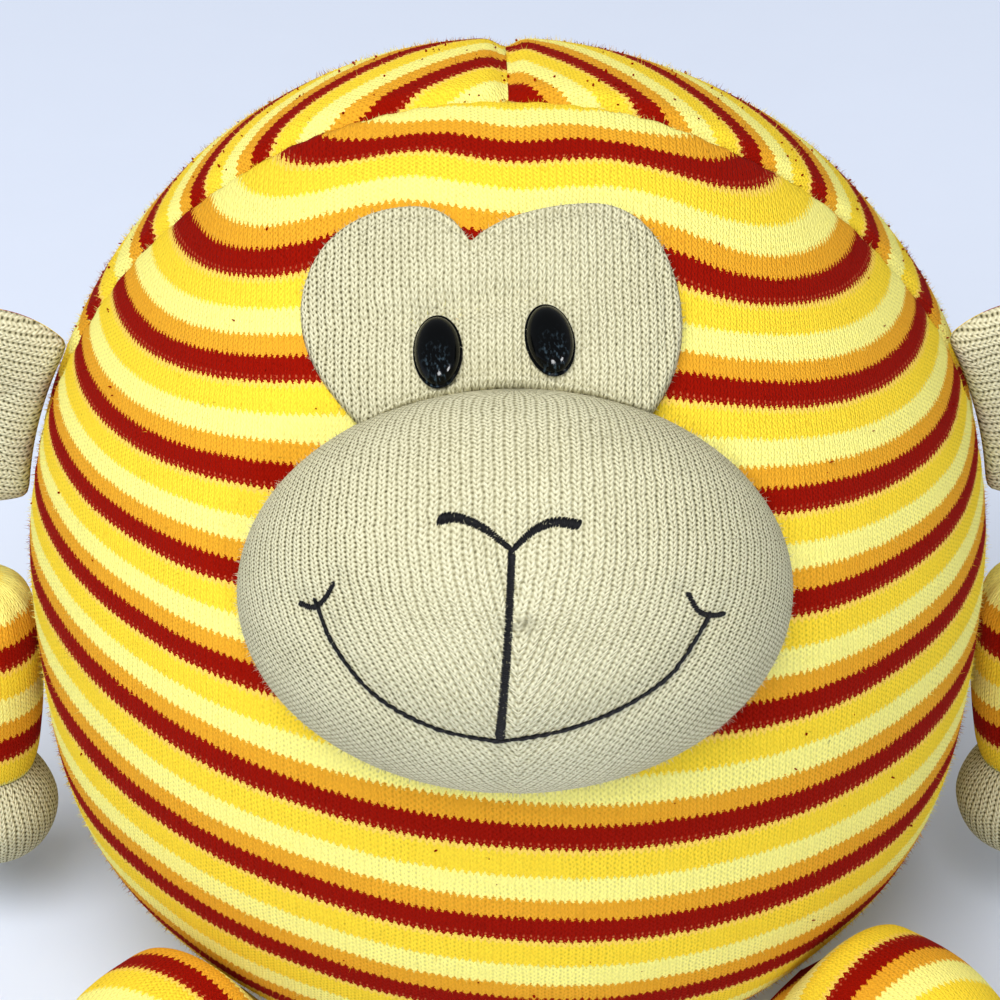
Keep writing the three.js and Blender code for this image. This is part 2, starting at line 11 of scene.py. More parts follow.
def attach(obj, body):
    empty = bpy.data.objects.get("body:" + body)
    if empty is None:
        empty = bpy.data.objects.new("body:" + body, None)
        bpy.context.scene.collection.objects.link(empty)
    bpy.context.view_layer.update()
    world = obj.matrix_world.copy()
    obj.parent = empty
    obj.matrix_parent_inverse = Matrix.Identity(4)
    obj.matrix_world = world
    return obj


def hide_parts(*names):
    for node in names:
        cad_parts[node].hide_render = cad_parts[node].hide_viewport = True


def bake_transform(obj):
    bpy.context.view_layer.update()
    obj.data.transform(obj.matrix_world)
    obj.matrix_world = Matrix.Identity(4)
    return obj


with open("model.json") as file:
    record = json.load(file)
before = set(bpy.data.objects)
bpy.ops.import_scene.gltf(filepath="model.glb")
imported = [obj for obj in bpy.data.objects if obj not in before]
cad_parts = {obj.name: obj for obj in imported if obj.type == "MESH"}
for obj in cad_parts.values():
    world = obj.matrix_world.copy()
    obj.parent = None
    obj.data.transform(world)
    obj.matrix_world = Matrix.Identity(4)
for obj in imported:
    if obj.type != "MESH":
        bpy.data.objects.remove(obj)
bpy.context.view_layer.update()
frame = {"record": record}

MM = 0.001
SIDES = {"left": -1, "right": 1}
X_AXIS = Vector((1, 0, 0))
DOWN = Vector((0, 0, -1))

# The ball, head and body in one, with the same profile as its solids
BODY_RADIUS = 127 * MM
CROWN_HEIGHT = 132 * MM
SEAT_DEPTH = 121 * MM
SEAT_RADIUS = 48 * MM
LOWER_FULLNESS = 2.9
BALL_CENTRE = Vector((0, 0, SEAT_DEPTH))
LOWER_DEPTH = SEAT_DEPTH / (1 - (SEAT_RADIUS / BODY_RADIUS) ** LOWER_FULLNESS) ** (1 / LOWER_FULLNESS)
KNIT_THICKNESS = 1.6 * MM

# The face looks up at this angle
FACE_LEAN = math.radians(33.6)
FACE_OUT = Vector((0, -math.cos(FACE_LEAN), math.sin(FACE_LEAN)))
FACE_UP = Vector((0, math.sin(FACE_LEAN), math.cos(FACE_LEAN)))

# The knit: stitches side by side are wales, stitches one above another are courses
STRIPE_WALE = 1.9 * MM
STRIPE_COURSE = 1.52 * MM
BEIGE_WALE = 2.6 * MM
BROW_WALE = 2.0 * MM
BEIGE_COURSE = 1.4 * MM
STRIPES = (("red", 5), ("highlit_yellow", 1), ("yellow", 5), ("pale_yellow", 5), ("orange", 4))
REPEAT = sum(courses for _, courses in STRIPES)
RED_MIDDLE = STRIPES[0][1] / 2


def from_srgb(*channels):
    """A colour as the eye reads it, 0 to 255, as the linear colour that shaders take."""
    linear = [((c / 255 + 0.055) / 1.055) ** 2.4 if c > 10 else c / 255 / 12.92 for c in channels]
    return (*linear, 1.0)


# The paler course between the red and the yellow is yellow yarn painted lighter: a painted highlight where
# its stitch tips catch the light.
YARN = {
    "red": from_srgb(140, 16, 4),
    "highlit_yellow": from_srgb(241, 203, 86),
    "yellow": from_srgb(242, 208, 54),
    "pale_yellow": from_srgb(245, 235, 132),
    "orange": from_srgb(224, 160, 42),
}
PEEPING_YARN = (0.30, 0.10, 0.04)
# The beige ramp runs from the painted shade in the knit's holes and grooves up to the painted light on the
# yarn's raised strands; fibre and dye tone move along it too.
BEIGE_DARK = from_srgb(80, 75, 51)
BEIGE_MIDDLE = from_srgb(169, 163, 129)
BEIGE_LIGHT = from_srgb(223, 218, 185)


# Shader helpers

def add(tree, kind, into=None, **settings):
    """A shader node with its settings, and each named input linked or set."""
    made = tree.nodes.new("ShaderNode" + kind)
    for key, value in settings.items():
        setattr(made, key, value)
    for name, value in (into or {}).items():
        if isinstance(value, bpy.types.NodeSocket):
            tree.links.new(value, made.inputs[name])
        else:
            made.inputs[name].default_value = value
    return made


def calc(tree, operation, *values):
    """One step of arithmetic, and its result."""
    return add(tree, "Math", dict(enumerate(values)), operation=operation).outputs[0]


def ease(tree, value, low, high):
    """0 below low and 1 above high, with a smooth rise between."""
    limits = {"Value": value, "From Min": low, "From Max": high}
    return add(tree, "MapRange", limits, interpolation_type="SMOOTHSTEP").outputs["Result"]


def fade(tree, value, low, high):
    """1 below low and 0 above high, with a smooth fall between."""
    return calc(tree, "SUBTRACT", 1, ease(tree, value, low, high))


def speckle(tree, vector, scale, detail):
    """Even noise from 0 to 1 over a vector."""
    return add(tree, "TexNoise", {"Vector": vector, "Scale": scale, "Detail": detail}).outputs[0]


def shaded(tree, colour, shade):
    """A colour, made lighter or darker by a number."""
    return add(tree, "VectorMath", {0: colour, "Scale": shade}, operation="SCALE").outputs[0]


def colour_ramp(tree, value, stops, interpolation="LINEAR"):
    """A colour ramp with the stops (place, colour)."""
    made = add(tree, "ValToRGB", {0: value})
    made.color_ramp.interpolation = interpolation
    elements = made.color_ramp.elements
    while len(elements) < len(stops):
        elements.new(1.0)
    for element, (place, colour) in zip(elements, stops):
        element.position = place
        element.color = colour
    return made.outputs[0]


def colour_by(tree, shader, value, stops):
    """Colours a shader by a value, on a ramp."""
    tree.links.new(colour_ramp(tree, value, stops), shader["Base Color"])


def emboss(tree, shader, height, strength, depth):
    """Gives a shader its fine relief."""
    bump = add(tree, "Bump", {"Strength": strength, "Distance": depth, "Height": height})
    tree.links.new(bump.outputs[0], shader["Normal"])


def new_group(name, takes, gives):
    """An empty shader node group, with its inside ends."""
    tree = bpy.data.node_groups.new(name, "ShaderNodeTree")
    for label, kind in takes:
        tree.interface.new_socket(label, in_out="INPUT", socket_type="NodeSocket" + kind)
    for label, kind in gives:
        tree.interface.new_socket(label, in_out="OUTPUT", socket_type="NodeSocket" + kind)
    return tree, tree.nodes.new("NodeGroupInput").outputs, tree.nodes.new("NodeGroupOutput").inputs


def new_material(name, plain):
    """A material with its Principled shader, whose plain sockets are set here."""
    material = bpy.data.materials.new(name)
    material.use_nodes = True
    tree = material.node_tree
    shader = tree.nodes["Principled BSDF"].inputs
    for label, value in plain.items():
        shader[label].default_value = value
    return material, tree, shader


# Shared effects of the yarn

def pulse(tree, value, low, high):
    """Rises and falls once over each whole number of a value, from 0 between to 1 at the halves."""
    away = calc(tree, "ABSOLUTE", calc(tree, "SUBTRACT", calc(tree, "FRACT", value), 0.5))
    return ease(tree, calc(tree, "MULTIPLY_ADD", away, -2, 1), low, high)


def make_jersey_group():
    """V-shaped jersey stitches on a map in stitches: which course a point is in, yarn height and holes."""
    tree, takes, gives = new_group(
        "jersey_stitches",
        [("Stitches", "Vector"), ("Slant", "Float"), ("Wobble", "Float"), ("Fray", "Float")],
        [("Course", "Float"), ("Height", "Float"), ("Hole", "Float")],
    )
    soft_noise = {"Vector": takes["Stitches"], "Scale": 0.35, "Detail": 1.0}
    drift = add(tree, "TexNoise", soft_noise).outputs["Color"]
    drift = add(tree, "VectorMath", {0: drift, 1: (0.5, 0.5, 0.5)}, operation="SUBTRACT").outputs[0]
    drift = shaded(tree, drift, takes["Wobble"])
    moved = add(tree, "VectorMath", {0: takes["Stitches"], 1: drift}, operation="ADD").outputs[0]
    parts = add(tree, "SeparateXYZ", {0: moved}).outputs
    across = calc(tree, "ABSOLUTE", calc(tree, "SUBTRACT", calc(tree, "FRACT", parts["X"]), 0.5))
    along = calc(tree, "MULTIPLY_ADD", across, takes["Slant"], parts["Y"])
    fray = calc(tree, "SUBTRACT", speckle(tree, takes["Stitches"], 3.6, 4.0), 0.5)
    frayed = calc(tree, "MULTIPLY_ADD", fray, takes["Fray"], along)
    middle = calc(tree, "MULTIPLY_ADD", ease(tree, across, 0.0, 0.14), 0.35, 0.65)
    edge = calc(tree, "MULTIPLY_ADD", ease(tree, across, 0.26, 0.5), -0.6, 1)
    strand = calc(tree, "MULTIPLY_ADD", pulse(tree, along, 0.0, 0.8), 0.5, 0.5)
    height = calc(tree, "MULTIPLY", calc(tree, "MULTIPLY", middle, edge), strand)
    between = calc(tree, "MULTIPLY", ease(tree, across, 0.28, 0.46), pulse(tree, parts["Y"], 0.2, 0.9))
    within = pulse(tree, calc(tree, "ADD", parts["Y"], 0.5), 0.3, 0.95)
    inside = calc(tree, "MULTIPLY", fade(tree, across, 0.02, 0.15), within)
    hole = calc(tree, "MULTIPLY_ADD", inside, 0.7, between)
    tree.links.new(calc(tree, "FLOOR", frayed), gives["Course"])
    tree.links.new(height, gives["Height"])
    tree.links.new(hole, gives["Hole"])
    return tree


def make_stripe_group():
    """The yarn colour of each course, in the order that the stripes were knitted, with the first yellow
    course painted paler as a highlight where its stitch tips catch the light, and the last red course, where
    the next yarn peeps through."""
    tree, takes, gives = new_group(
        "stripe_order", [("Course", "Float")], [("Color", "Color"), ("Last Red", "Float")]
    )
    share = calc(tree, "DIVIDE", calc(tree, "ADD", takes["Course"], 0.5), REPEAT)
    stops = []
    done = 0
    for yarn, courses in STRIPES:
        stops.append((done / REPEAT, YARN[yarn]))
        done += courses
    place = calc(tree, "FRACT", share)
    tree.links.new(colour_ramp(tree, place, stops, "CONSTANT"), gives["Color"])
    last_red = (STRIPES[0][1] - 0.5) / REPEAT
    tree.links.new(calc(tree, "COMPARE", place, last_red, 0.4 / REPEAT), gives["Last Red"])
    return tree


def make_fluff_group():
    """Brushed fibres over the yarn, uneven dye in patches, and specks of lint."""
    tree, takes, gives = new_group(
        "yarn_fluff", [("Stitches", "Vector")], [("Fibre", "Float"), ("Dye", "Float"), ("Lint", "Float")]
    )
    combed = add(tree, "Mapping", {"Vector": takes["Stitches"], "Scale": (1.0, 0.45, 1.0)}).outputs[0]
    tree.links.new(speckle(tree, combed, 3.2, 4.0), gives["Fibre"])
    tree.links.new(speckle(tree, takes["Stitches"], 0.09, 3.0), gives["Dye"])
    tree.links.new(ease(tree, speckle(tree, takes["Stitches"], 0.9, 1.0), 0.75, 0.79), gives["Lint"])
    return tree


JERSEY = make_jersey_group()
STRIPE_ORDER = make_stripe_group()
FLUFF = make_fluff_group()


def knit_nodes(tree, shader, slant, fray, depth):
    """The stitches, fluff and relief that both knits have, on the piece's own map of stitches."""
    stitches = add(tree, "UVMap", uv_map="stitches").outputs[0]
    takes = {"Stitches": stitches, "Slant": slant, "Wobble": 0.5, "Fray": fray}
    jersey = add(tree, "Group", takes, node_tree=JERSEY).outputs
    fluff = add(tree, "Group", {"Stitches": stitches}, node_tree=FLUFF).outputs
    emboss(tree, shader, calc(tree, "MULTIPLY_ADD", fluff["Fibre"], 0.5, jersey["Height"]), 0.8, depth)
    return jersey, fluff


def make_striped_knit():
    """Red, yellow, pale yellow and orange jersey, soft and a little pilled."""
    plain = {"Roughness": 1.0, "Sheen Weight": 0.01, "Sheen Roughness": 0.5, "Specular IOR Level": 0.02}
    material, tree, shader = new_material("striped_knit", plain)
    jersey, fluff = knit_nodes(tree, shader, 1.8, 2.1, 0.4 * MM)
    stripes = add(tree, "Group", {"Course": jersey["Course"]}, node_tree=STRIPE_ORDER).outputs
    peeping = calc(tree, "MULTIPLY", jersey["Hole"], stripes["Last Red"])
    parts = {0: peeping, 1: PEEPING_YARN, 2: stripes["Color"]}
    yarn = add(tree, "VectorMath", parts, operation="MULTIPLY_ADD").outputs[0]
    stretched = ease(tree, fluff["Dye"], 0.36, 0.6)
    # Painted shade in the holes between the stitches, deeper in patches where the knit is stretched open.
    shaded_holes = calc(tree, "MULTIPLY", jersey["Hole"], calc(tree, "MULTIPLY_ADD", stretched, 0.26, 0.05))
    shade = calc(tree, "MULTIPLY_ADD", fluff["Fibre"], 0.4, 0.68)
    shade = calc(tree, "MULTIPLY_ADD", fluff["Dye"], 0.2, shade)
    # Painted light and shade of the knit's relief: the stitches' raised tops lighter, the grooves between
    # them darker.
    shade = calc(tree, "MULTIPLY_ADD", jersey["Height"], 0.1, calc(tree, "SUBTRACT", shade, 0.03))
    shade = calc(tree, "MULTIPLY", shade, calc(tree, "SUBTRACT", 1, shaded_holes))
    shade = calc(tree, "MULTIPLY_ADD", fluff["Lint"], -0.3, shade)
    tree.links.new(shaded(tree, yarn, shade), shader["Base Color"])
    return material


def make_beige_knit():
    """Oatmeal jersey in ribs, with painted light on the yarn's raised strands and painted shade in the holes
    and grooves between them.
    """
    plain = {"Roughness": 1.0, "Sheen Weight": 0.02, "Sheen Roughness": 0.5, "Specular IOR Level": 0.03}
    material, tree, shader = new_material("beige_knit", plain)
    jersey, fluff = knit_nodes(tree, shader, 1.9, 0.8, 0.6 * MM)
    place = add(tree, "TexCoord").outputs["Object"]
    from_middle = calc(tree, "ABSOLUTE", add(tree, "SeparateXYZ", {0: place}).outputs["X"])
    stretched = ease(tree, from_middle, 12 * MM, 52 * MM)
    # Painted shade in the holes, deeper at the muzzle's stretched sides, and painted light and shade of the
    # relief from the yarn's height: raised strands lighter, grooves darker. Fibre and dye give tone that
    # differs at random.
    shaded_holes = calc(tree, "MULTIPLY", jersey["Hole"], calc(tree, "MULTIPLY_ADD", stretched, 0.3, 0.42))
    tone = calc(tree, "MULTIPLY_ADD", jersey["Height"], 0.4, 0.06)
    tone = calc(tree, "MULTIPLY_ADD", fluff["Fibre"], 0.8, tone)
    tone = calc(tree, "MULTIPLY_ADD", fluff["Dye"], 0.2, calc(tree, "SUBTRACT", tone, 0.1))
    tone = calc(tree, "SUBTRACT", tone, shaded_holes)
    colour_by(tree, shader, tone, [(0.0, BEIGE_DARK), (0.45, BEIGE_MIDDLE), (0.9, BEIGE_LIGHT)])
    return material


def make_stuffing():
    """White fibre filling, clumped."""
    plain = {"Roughness": 1.0, "Sheen Weight": 0.3, "Specular IOR Level": 0.1}
    material, tree, shader = new_material("stuffing", plain)
    place = add(tree, "TexCoord").outputs["Object"]
    stops = [(0.3, from_srgb(214, 212, 205)), (0.7, from_srgb(246, 245, 240))]
    colour_by(tree, shader, speckle(tree, place, 90, 5.0), stops)
    fibres = add(tree, "TexWave", {"Vector": place, "Scale": 260, "Distortion": 14, "Detail": 3.0}).outputs[1]
    emboss(tree, shader, fibres, 0.7, 0.8 * MM)
    return material


def make_washer_plastic():
    """White moulded plastic with handling dust."""
    material, tree, shader = new_material("washer_plastic", {"Specular IOR Level": 0.08})
    place = add(tree, "TexCoord").outputs["Object"]
    dust = ease(tree, speckle(tree, place, 1500, 3.0), 0.60, 0.74)
    smear = speckle(tree, place, 160, 3.0)
    stops = [(0.0, from_srgb(196, 196, 190)), (0.55, from_srgb(222, 222, 216))]
    colour_by(tree, shader, calc(tree, "MULTIPLY", dust, smear), stops)
    rough = calc(tree, "MULTIPLY_ADD", smear, 0.12, 0.35)
    tree.links.new(calc(tree, "MULTIPLY_ADD", dust, 0.3, rough), shader["Roughness"])
    emboss(tree, shader, speckle(tree, place, 420, 2.0), 0.25, 0.05 * MM)
    return material


def make_eye_plastic():
    """Glossy black plastic, scuffed on the lower half of the dome, where a painted reflection of the pale
    ground lightens it too.
    """
    material, tree, shader = new_material("eye_plastic", {"Specular IOR Level": 0.12})
    spot = add(tree, "UVMap", uv_map="dome").outputs[0]
    parts = add(tree, "SeparateXYZ", {0: spot}).outputs
    # The lighter blue-grey grains on the lower middle of the dome are real scuffs and a painted reflection of
    # the pale ground in front.
    low = fade(tree, parts["Y"], -0.6, 0.3)
    middle = fade(tree, calc(tree, "ABSOLUTE", parts["X"]), 0.25, 0.75)
    grain = ease(tree, speckle(tree, spot, 7, 5.0), 0.5, 0.76)
    scuffs_and_reflection = calc(tree, "MULTIPLY", calc(tree, "MULTIPLY", low, middle), grain)
    colour_by(tree, shader, scuffs_and_reflection, [(0.0, from_srgb(2, 3, 4)), (0.9, from_srgb(58, 74, 84))])
    tree.links.new(calc(tree, "MULTIPLY_ADD", grain, 0.16, 0.1), shader["Roughness"])
    emboss(tree, shader, grain, 0.3, 0.05 * MM)
    return material


def make_thread():
    """Black cotton thread, twisted, with a dull shine."""
    plain = {"Roughness": 0.7, "Sheen Weight": 0.03, "Specular IOR Level": 0.15}
    material, tree, shader = new_material("embroidery_thread", plain)
    twist = add(tree, "UVMap", uv_map="stitches").outputs[0]
    wave = {"Vector": twist, "Scale": 1.2, "Distortion": 1.5}
    plies = add(tree, "TexWave", wave, bands_direction="DIAGONAL").outputs[1]
    place = add(tree, "TexCoord").outputs["Object"]
    tone = calc(tree, "MULTIPLY", plies, speckle(tree, place, 900, 2.0))
    colour_by(tree, shader, tone, [(0.1, from_srgb(5, 5, 7)), (0.7, from_srgb(30, 29, 32))])
    emboss(tree, shader, plies, 0.6, 0.12 * MM)
    return material


FINISH = {
    "striped_knit": make_striped_knit(),
    "beige_knit": make_beige_knit(),
    "stuffing": make_stuffing(),
    "eye_plastic": make_eye_plastic(),
    "washer_plastic": make_washer_plastic(),
    "embroidery_thread": make_thread(),
}


# Shape helpers

TINY = 1e-7
INWARDS = 0.999
FULL_TURN = 2 * math.pi
QUARTER_TURN = math.pi / 2


def smooth_step(value, low, high):
    share = min(max((value - low) / (high - low), 0.0), 1.0)
    return share * share * (3 - 2 * share)


def dent(distance, width):
    """1 on a line and next to nothing past twice its width."""
    return math.exp(-((distance / width) ** 2))


def furthest(holds, low, high, rounds):
    """The furthest value between two up to which something holds, by halving."""
    for _ in range(rounds):
        middle = (low + high) / 2
        low, high = (middle, high) if holds(middle) else (low, middle)
    return low


def polar(point):
    """How far a point of a flat fan is from its middle, and its turn from 0 to one full turn."""
    turn = math.atan2(point.y, point.x)
    return point.to_2d().length, turn if turn > -TINY else turn + FULL_TURN


def turn_chain(spots, turn, spokes):
    """A chain of points (away, height) turned about +Z: a grid bent round, whose faces keep their order."""
    last = len(spots) - 1
    bm = bmesh.new()
    bmesh.ops.create_grid(bm, x_segments=last, y_segments=spokes, size=1)
    for vert in bm.verts:
        away, height = spots[round((vert.co.x + 1) / 2 * last)]
        angle = turn * round((vert.co.y + 1) / 2 * spokes) / spokes
        vert.co = (away * math.cos(angle), away * math.sin(angle), height)
    bmesh.ops.remove_doubles(bm, verts=bm.verts, dist=TINY)
    return bm


def fan(start, reach, rings, turn, spokes):
    """A flat fan, disc or ring of quads, turned from one spoke, to be laid on a surface."""
    spoke = [(start + (reach - start) * ring / rings, 0) for ring in range(rings + 1)]
    return turn_chain(spoke, turn, spokes)


def map_stitches(bm, to_stitches):
    """Gives a flat fan its map of stitches, from each corner's distance and turn."""
    layer = bm.loops.layers.uv.new("stitches")
    for face in bm.faces:
        places = [polar(loop.vert.co) for loop in face.loops]
        latest = max(turn for away, turn in places if away > TINY)
        places = [(away, turn + FULL_TURN if latest - turn > math.pi else turn) for away, turn in places]
        rim = [turn for away, turn in places if away > TINY]
        for loop, (away, turn) in zip(face.loops, places):
            middle = sum(rim) / len(rim)
            loop[layer].uv = to_stitches(away, middle + (turn - middle) * INWARDS if away > TINY else middle)


def lay(bm, to_place, inside):
    """Carries a flat fan to its place on the toy, with its faces turned away from a point inside."""
    for vert in bm.verts:
        vert.co = to_place(*polar(vert.co))
    bmesh.ops.remove_doubles(bm, verts=bm.verts, dist=TINY)
    bmesh.ops.recalc_face_normals(bm, faces=bm.faces)
    facing = sum(face.normal.dot(face.calc_center_median() - inside) * face.calc_area() for face in bm.faces)
    if facing < 0:
        bmesh.ops.reverse_faces(bm, faces=bm.faces)


def new_object(name, bm, material):
    """Makes an object of a finished mesh."""
    mesh = bpy.data.meshes.new(name)
    bm.to_mesh(mesh)
    bm.free()
    mesh.materials.append(material)
    made = bpy.data.objects.new(name, mesh)
    bpy.context.scene.collection.objects.link(made)
    return made


def new_piece(name, bm, slot, body, *nodes):
    """Makes a piece of the toy, which rides on a body and stands for the nodes."""
    piece = new_object(name, bm, FINISH[slot])
    piece.data.shade_smooth()
    if body:
        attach(piece, body)
    if nodes:
        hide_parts(*nodes)
    return piece


def cut_knit(name, bm, to_stitches, to_place, inside, slot, body, node):
    """A piece of knit: a flat fan with its map of stitches, laid in its place."""
    map_stitches(bm, to_stitches)
    lay(bm, to_place, inside)
    return new_piece(name, bm, slot, body, node)


def thicken(piece, thickness=KNIT_THICKNESS):
    """Gives a sheet of knit its thickness, inwards."""
    wall = piece.modifiers.new("knit_thickness", "SOLIDIFY")
    wall.thickness = thickness
    wall.offset = -1


def refine(piece, levels):
    """Rounds a coarse mesh."""
    finer = piece.modifiers.new("rounding", "SUBSURF")
    finer.levels = levels
    finer.render_levels = levels


# Cloth: a padded piece is swollen by its filling, held at its sewn edges
CLOTH_FRAMES = 20
CLOTH_STIFFNESS = 25
CLOTH_BENDING = 0.6
SOFT_PRESSURE = 1.5
FIRM_PRESSURE = 1.0
THIN_KNIT = 1.2 * MM


def edge_of(piece):
    """The corners on a piece's open edges."""
    bm = bmesh.new()
    bm.from_mesh(piece.data)
    rim = [vert.index for vert in bm.verts if vert.is_boundary]
    bm.free()
    return rim


def swell(piece, pressure, most):
    """Blows a padded piece up between its sewn edges like a stuffed cover, and moves no point further than
    most."""
    mesh = piece.data
    rest = [vert.co.copy() for vert in mesh.vertices]
    cloth = piece.modifiers.new("filling_pressure", "CLOTH")
    settings = cloth.settings
    settings.use_pressure = True
    settings.uniform_pressure_force = pressure
    settings.effector_weights.gravity = 0
    settings.quality = 6
    settings.tension_stiffness = settings.compression_stiffness = CLOTH_STIFFNESS
    settings.bending_stiffness = CLOTH_BENDING
    cloth.collision_settings.use_collision = False
    sewn = edge_of(piece)
    if sewn:
        seam = piece.vertex_groups.new(name="sewn_edge")
        seam.add(sewn, 1.0, "REPLACE")
        settings.vertex_group_mass = "sewn_edge"
    scene = bpy.context.scene
    for step in range(1, CLOTH_FRAMES + 1):
        scene.frame_set(step)
    swollen = piece.evaluated_get(bpy.context.evaluated_depsgraph_get())
    moves = [vert.co - start for vert, start in zip(swollen.data.vertices, rest)]
    piece.modifiers.remove(cloth)
    scene.frame_set(1)
    for vert, start, move in zip(mesh.vertices, rest, moves):
        vert.co = start + move * min(1.0, most / max(move.length, TINY))
    mesh.update()


def pad(piece, pressure, most, fill):
    """Swells a piece between its sewn edges, rounds its mesh and gives it the thickness of thin knit."""
    swell(piece, pressure, most)
    refine(piece, 1)
    thicken(piece, THIN_KNIT)


# The ball's surface, by the distance from the crown along the cloth and the turn from the face's middle
MERIDIAN_STEP = 0.5 * MM
DEGREE = math.radians(1) * BODY_RADIUS


def make_meridian():
    """Points from the crown to the seat at even steps along the cloth: radius and height."""
    steps = 900
    line = []
    for step in range(steps + 1):
        turn = QUARTER_TURN * step / steps
        line.append((BODY_RADIUS * math.sin(turn), SEAT_DEPTH + CROWN_HEIGHT * math.cos(turn)))
    for step in range(1, steps + 1):
        depth = SEAT_DEPTH * math.sin(QUARTER_TURN * step / steps)
        share = 1 - (depth / LOWER_DEPTH) ** LOWER_FULLNESS
        line.append((BODY_RADIUS * share ** (1 / LOWER_FULLNESS), SEAT_DEPTH - depth))
    even = [line[0]]
    left = MERIDIAN_STEP
    for (r0, z0), (r1, z1) in zip(line, line[1:]):
        span = math.hypot(r1 - r0, z1 - z0)
        done = 0.0
        while span - done >= left:
            done += left
            share = done / span
            even.append((r0 + (r1 - r0) * share, z0 + (z1 - z0) * share))
            left = MERIDIAN_STEP
        left -= span - done
    return even


MERIDIAN = make_meridian()
MERIDIAN_LENGTH = (len(MERIDIAN) - 1) * MERIDIAN_STEP


def on_meridian(down):
    """Radius and height at a distance down the cloth, and the outward direction there."""
    spot = min(max(down / MERIDIAN_STEP, 0.0), len(MERIDIAN) - 1.001)
    first = int(spot)
    (r0, z0), (r1, z1) = MERIDIAN[first], MERIDIAN[first + 1]
    share = spot - first
    outward = Vector((z0 - z1, r1 - r0)).normalized()
    return r0 + (r1 - r0) * share, z0 + (z1 - z0) * share, outward


def on_ball(across, up):
    """The place on the ball that the face's plan shows at a spot, and the outward direction there."""
    start = X_AXIS * across + FACE_UP * up
    squeeze = Vector((1 / BODY_RADIUS, 1 / BODY_RADIUS, 1 / CROWN_HEIGHT))
    near, way = start * squeeze, FACE_OUT * squeeze
    half = near.dot(way)
    reach = (-half + math.sqrt(half * half - way.dot(way) * (near.dot(near) - 1))) / way.dot(way)
    spot = start + FACE_OUT * reach
    return spot + BALL_CENTRE, (spot * squeeze * squeeze).normalized()


def on_plan(point):
    """A place on the toy as the face's plan shows it: across and up from the ball's middle."""
    return point.x, (point - BALL_CENTRE).dot(FACE_UP)


def outside_ball(point):
    """Above 0 outside the ball, below 0 inside."""
    height = point.z - SEAT_DEPTH
    power, tall = (2, CROWN_HEIGHT) if height > 0 else (LOWER_FULLNESS, LOWER_DEPTH)
    return (point.to_2d().length / BODY_RADIUS) ** power + (abs(height) / tall) ** power - 1


# Muzzle
MUZZLE_HALF_WIDTH = 67 * MM
MUZZLE_HALF_HEIGHT = 49 * MM
MUZZLE_HALF_DEPTH = 44 * MM
MUZZLE_SINK = 8 * MM
MUZZLE_DROP = 15 * MM
MUZZLE_SEAT, MUZZLE_OUT = on_ball(0, -MUZZLE_DROP)
MUZZLE_UP = MUZZLE_OUT.cross(X_AXIS)


def on_muzzle(lean, turn):
    """A place on the muzzle's dome: how far it leans from the tip, and its turn from the right."""
    side = X_AXIS * (MUZZLE_HALF_WIDTH * math.cos(turn)) + MUZZLE_UP * (MUZZLE_HALF_HEIGHT * math.sin(turn))
    rise = MUZZLE_OUT * (MUZZLE_HALF_DEPTH * math.cos(lean) - MUZZLE_SINK)
    return MUZZLE_SEAT + side * math.sin(lean) + rise


def muzzle_edge(turn):
    """The lean at which the muzzle meets the ball."""
    return furthest(lambda lean: outside_ball(on_muzzle(lean, turn)) > 0, 0.8, 2.4, 30)


MUZZLE_RIGHT, _ = on_plan(on_muzzle(muzzle_edge(0), 0))
_, MUZZLE_TOP = on_plan(on_muzzle(muzzle_edge(QUARTER_TURN), QUARTER_TURN))
_, MUZZLE_FOOT = on_plan(on_muzzle(muzzle_edge(-QUARTER_TURN), -QUARTER_TURN))
MUZZLE_MIDDLE = (MUZZLE_TOP + MUZZLE_FOOT) / 2
MUZZLE_TALL = (MUZZLE_TOP - MUZZLE_FOOT) / 2


def from_muzzle(across, up):
    """How far a spot of the face's plan lies outside the muzzle's seam."""
    ratio = math.hypot(across / MUZZLE_RIGHT, (up - MUZZLE_MIDDLE) / MUZZLE_TALL)
    return (ratio - 1) * (MUZZLE_RIGHT + MUZZLE_TALL) / 2


# Panels of the ball
SEAM_DEPTH = 2.2 * MM
SEAM_WIDTH = 3.2 * MM
PUCKER_DEPTH = 0.5 * MM
PUCKER_PITCH = 8.5 * MM
MUZZLE_SEAM_DEPTH = 1.6 * MM
LUMP_DEPTH = 0.9 * MM
FINE_LUMPS, BROAD_LUMPS = 24, 9
ARM_HOLLOW = Vector((BODY_RADIUS, -8 * MM, 98 * MM))
ARM_HOLLOW_DEPTH = 0.9 * MM
ARM_HOLLOW_WIDTH = 22 * MM
SEAT_FADE = 25 * MM
BASE_PULL = 0.4 * MM
PANEL_RINGS = 150
LOWEST_CLOTH = 0.3 * MM

# Stripes, in degrees down from the crown: the first red, the repeat, and how they bow and lean.
# The front's bow is a cubic of the share that is left to its end, and follows a power of the turn aside,
# a high one at the crown and a low one further down. The backs' stripes are straight about the crown, and
# face the azimuths given.
FRONT_RED = 12.0
FRONT_REPEAT = 13.7
FRONT_BOW = (0.30, 1.76, -1.44)
FRONT_BOW_END = 88.3
FRONT_BOW_POWERS = (4.5, 1.9)
FRONT_BOW_CHANGE = (12, 40)
FRONT_LOW_BOW = 0.066
FRONT_LEAN = 0.06
BACK_FACING = {"left": math.radians(219), "right": math.radians(129)}
BACK_RED = {"left": 9.4, "right": 1.8}
BACK_REPEAT = {"left": 12.4, "right": 11.5}
CROWN_STRAIGHT = (20.0, 52.0)
BACK_START = {"left": math.pi, "right": QUARTER_TURN}


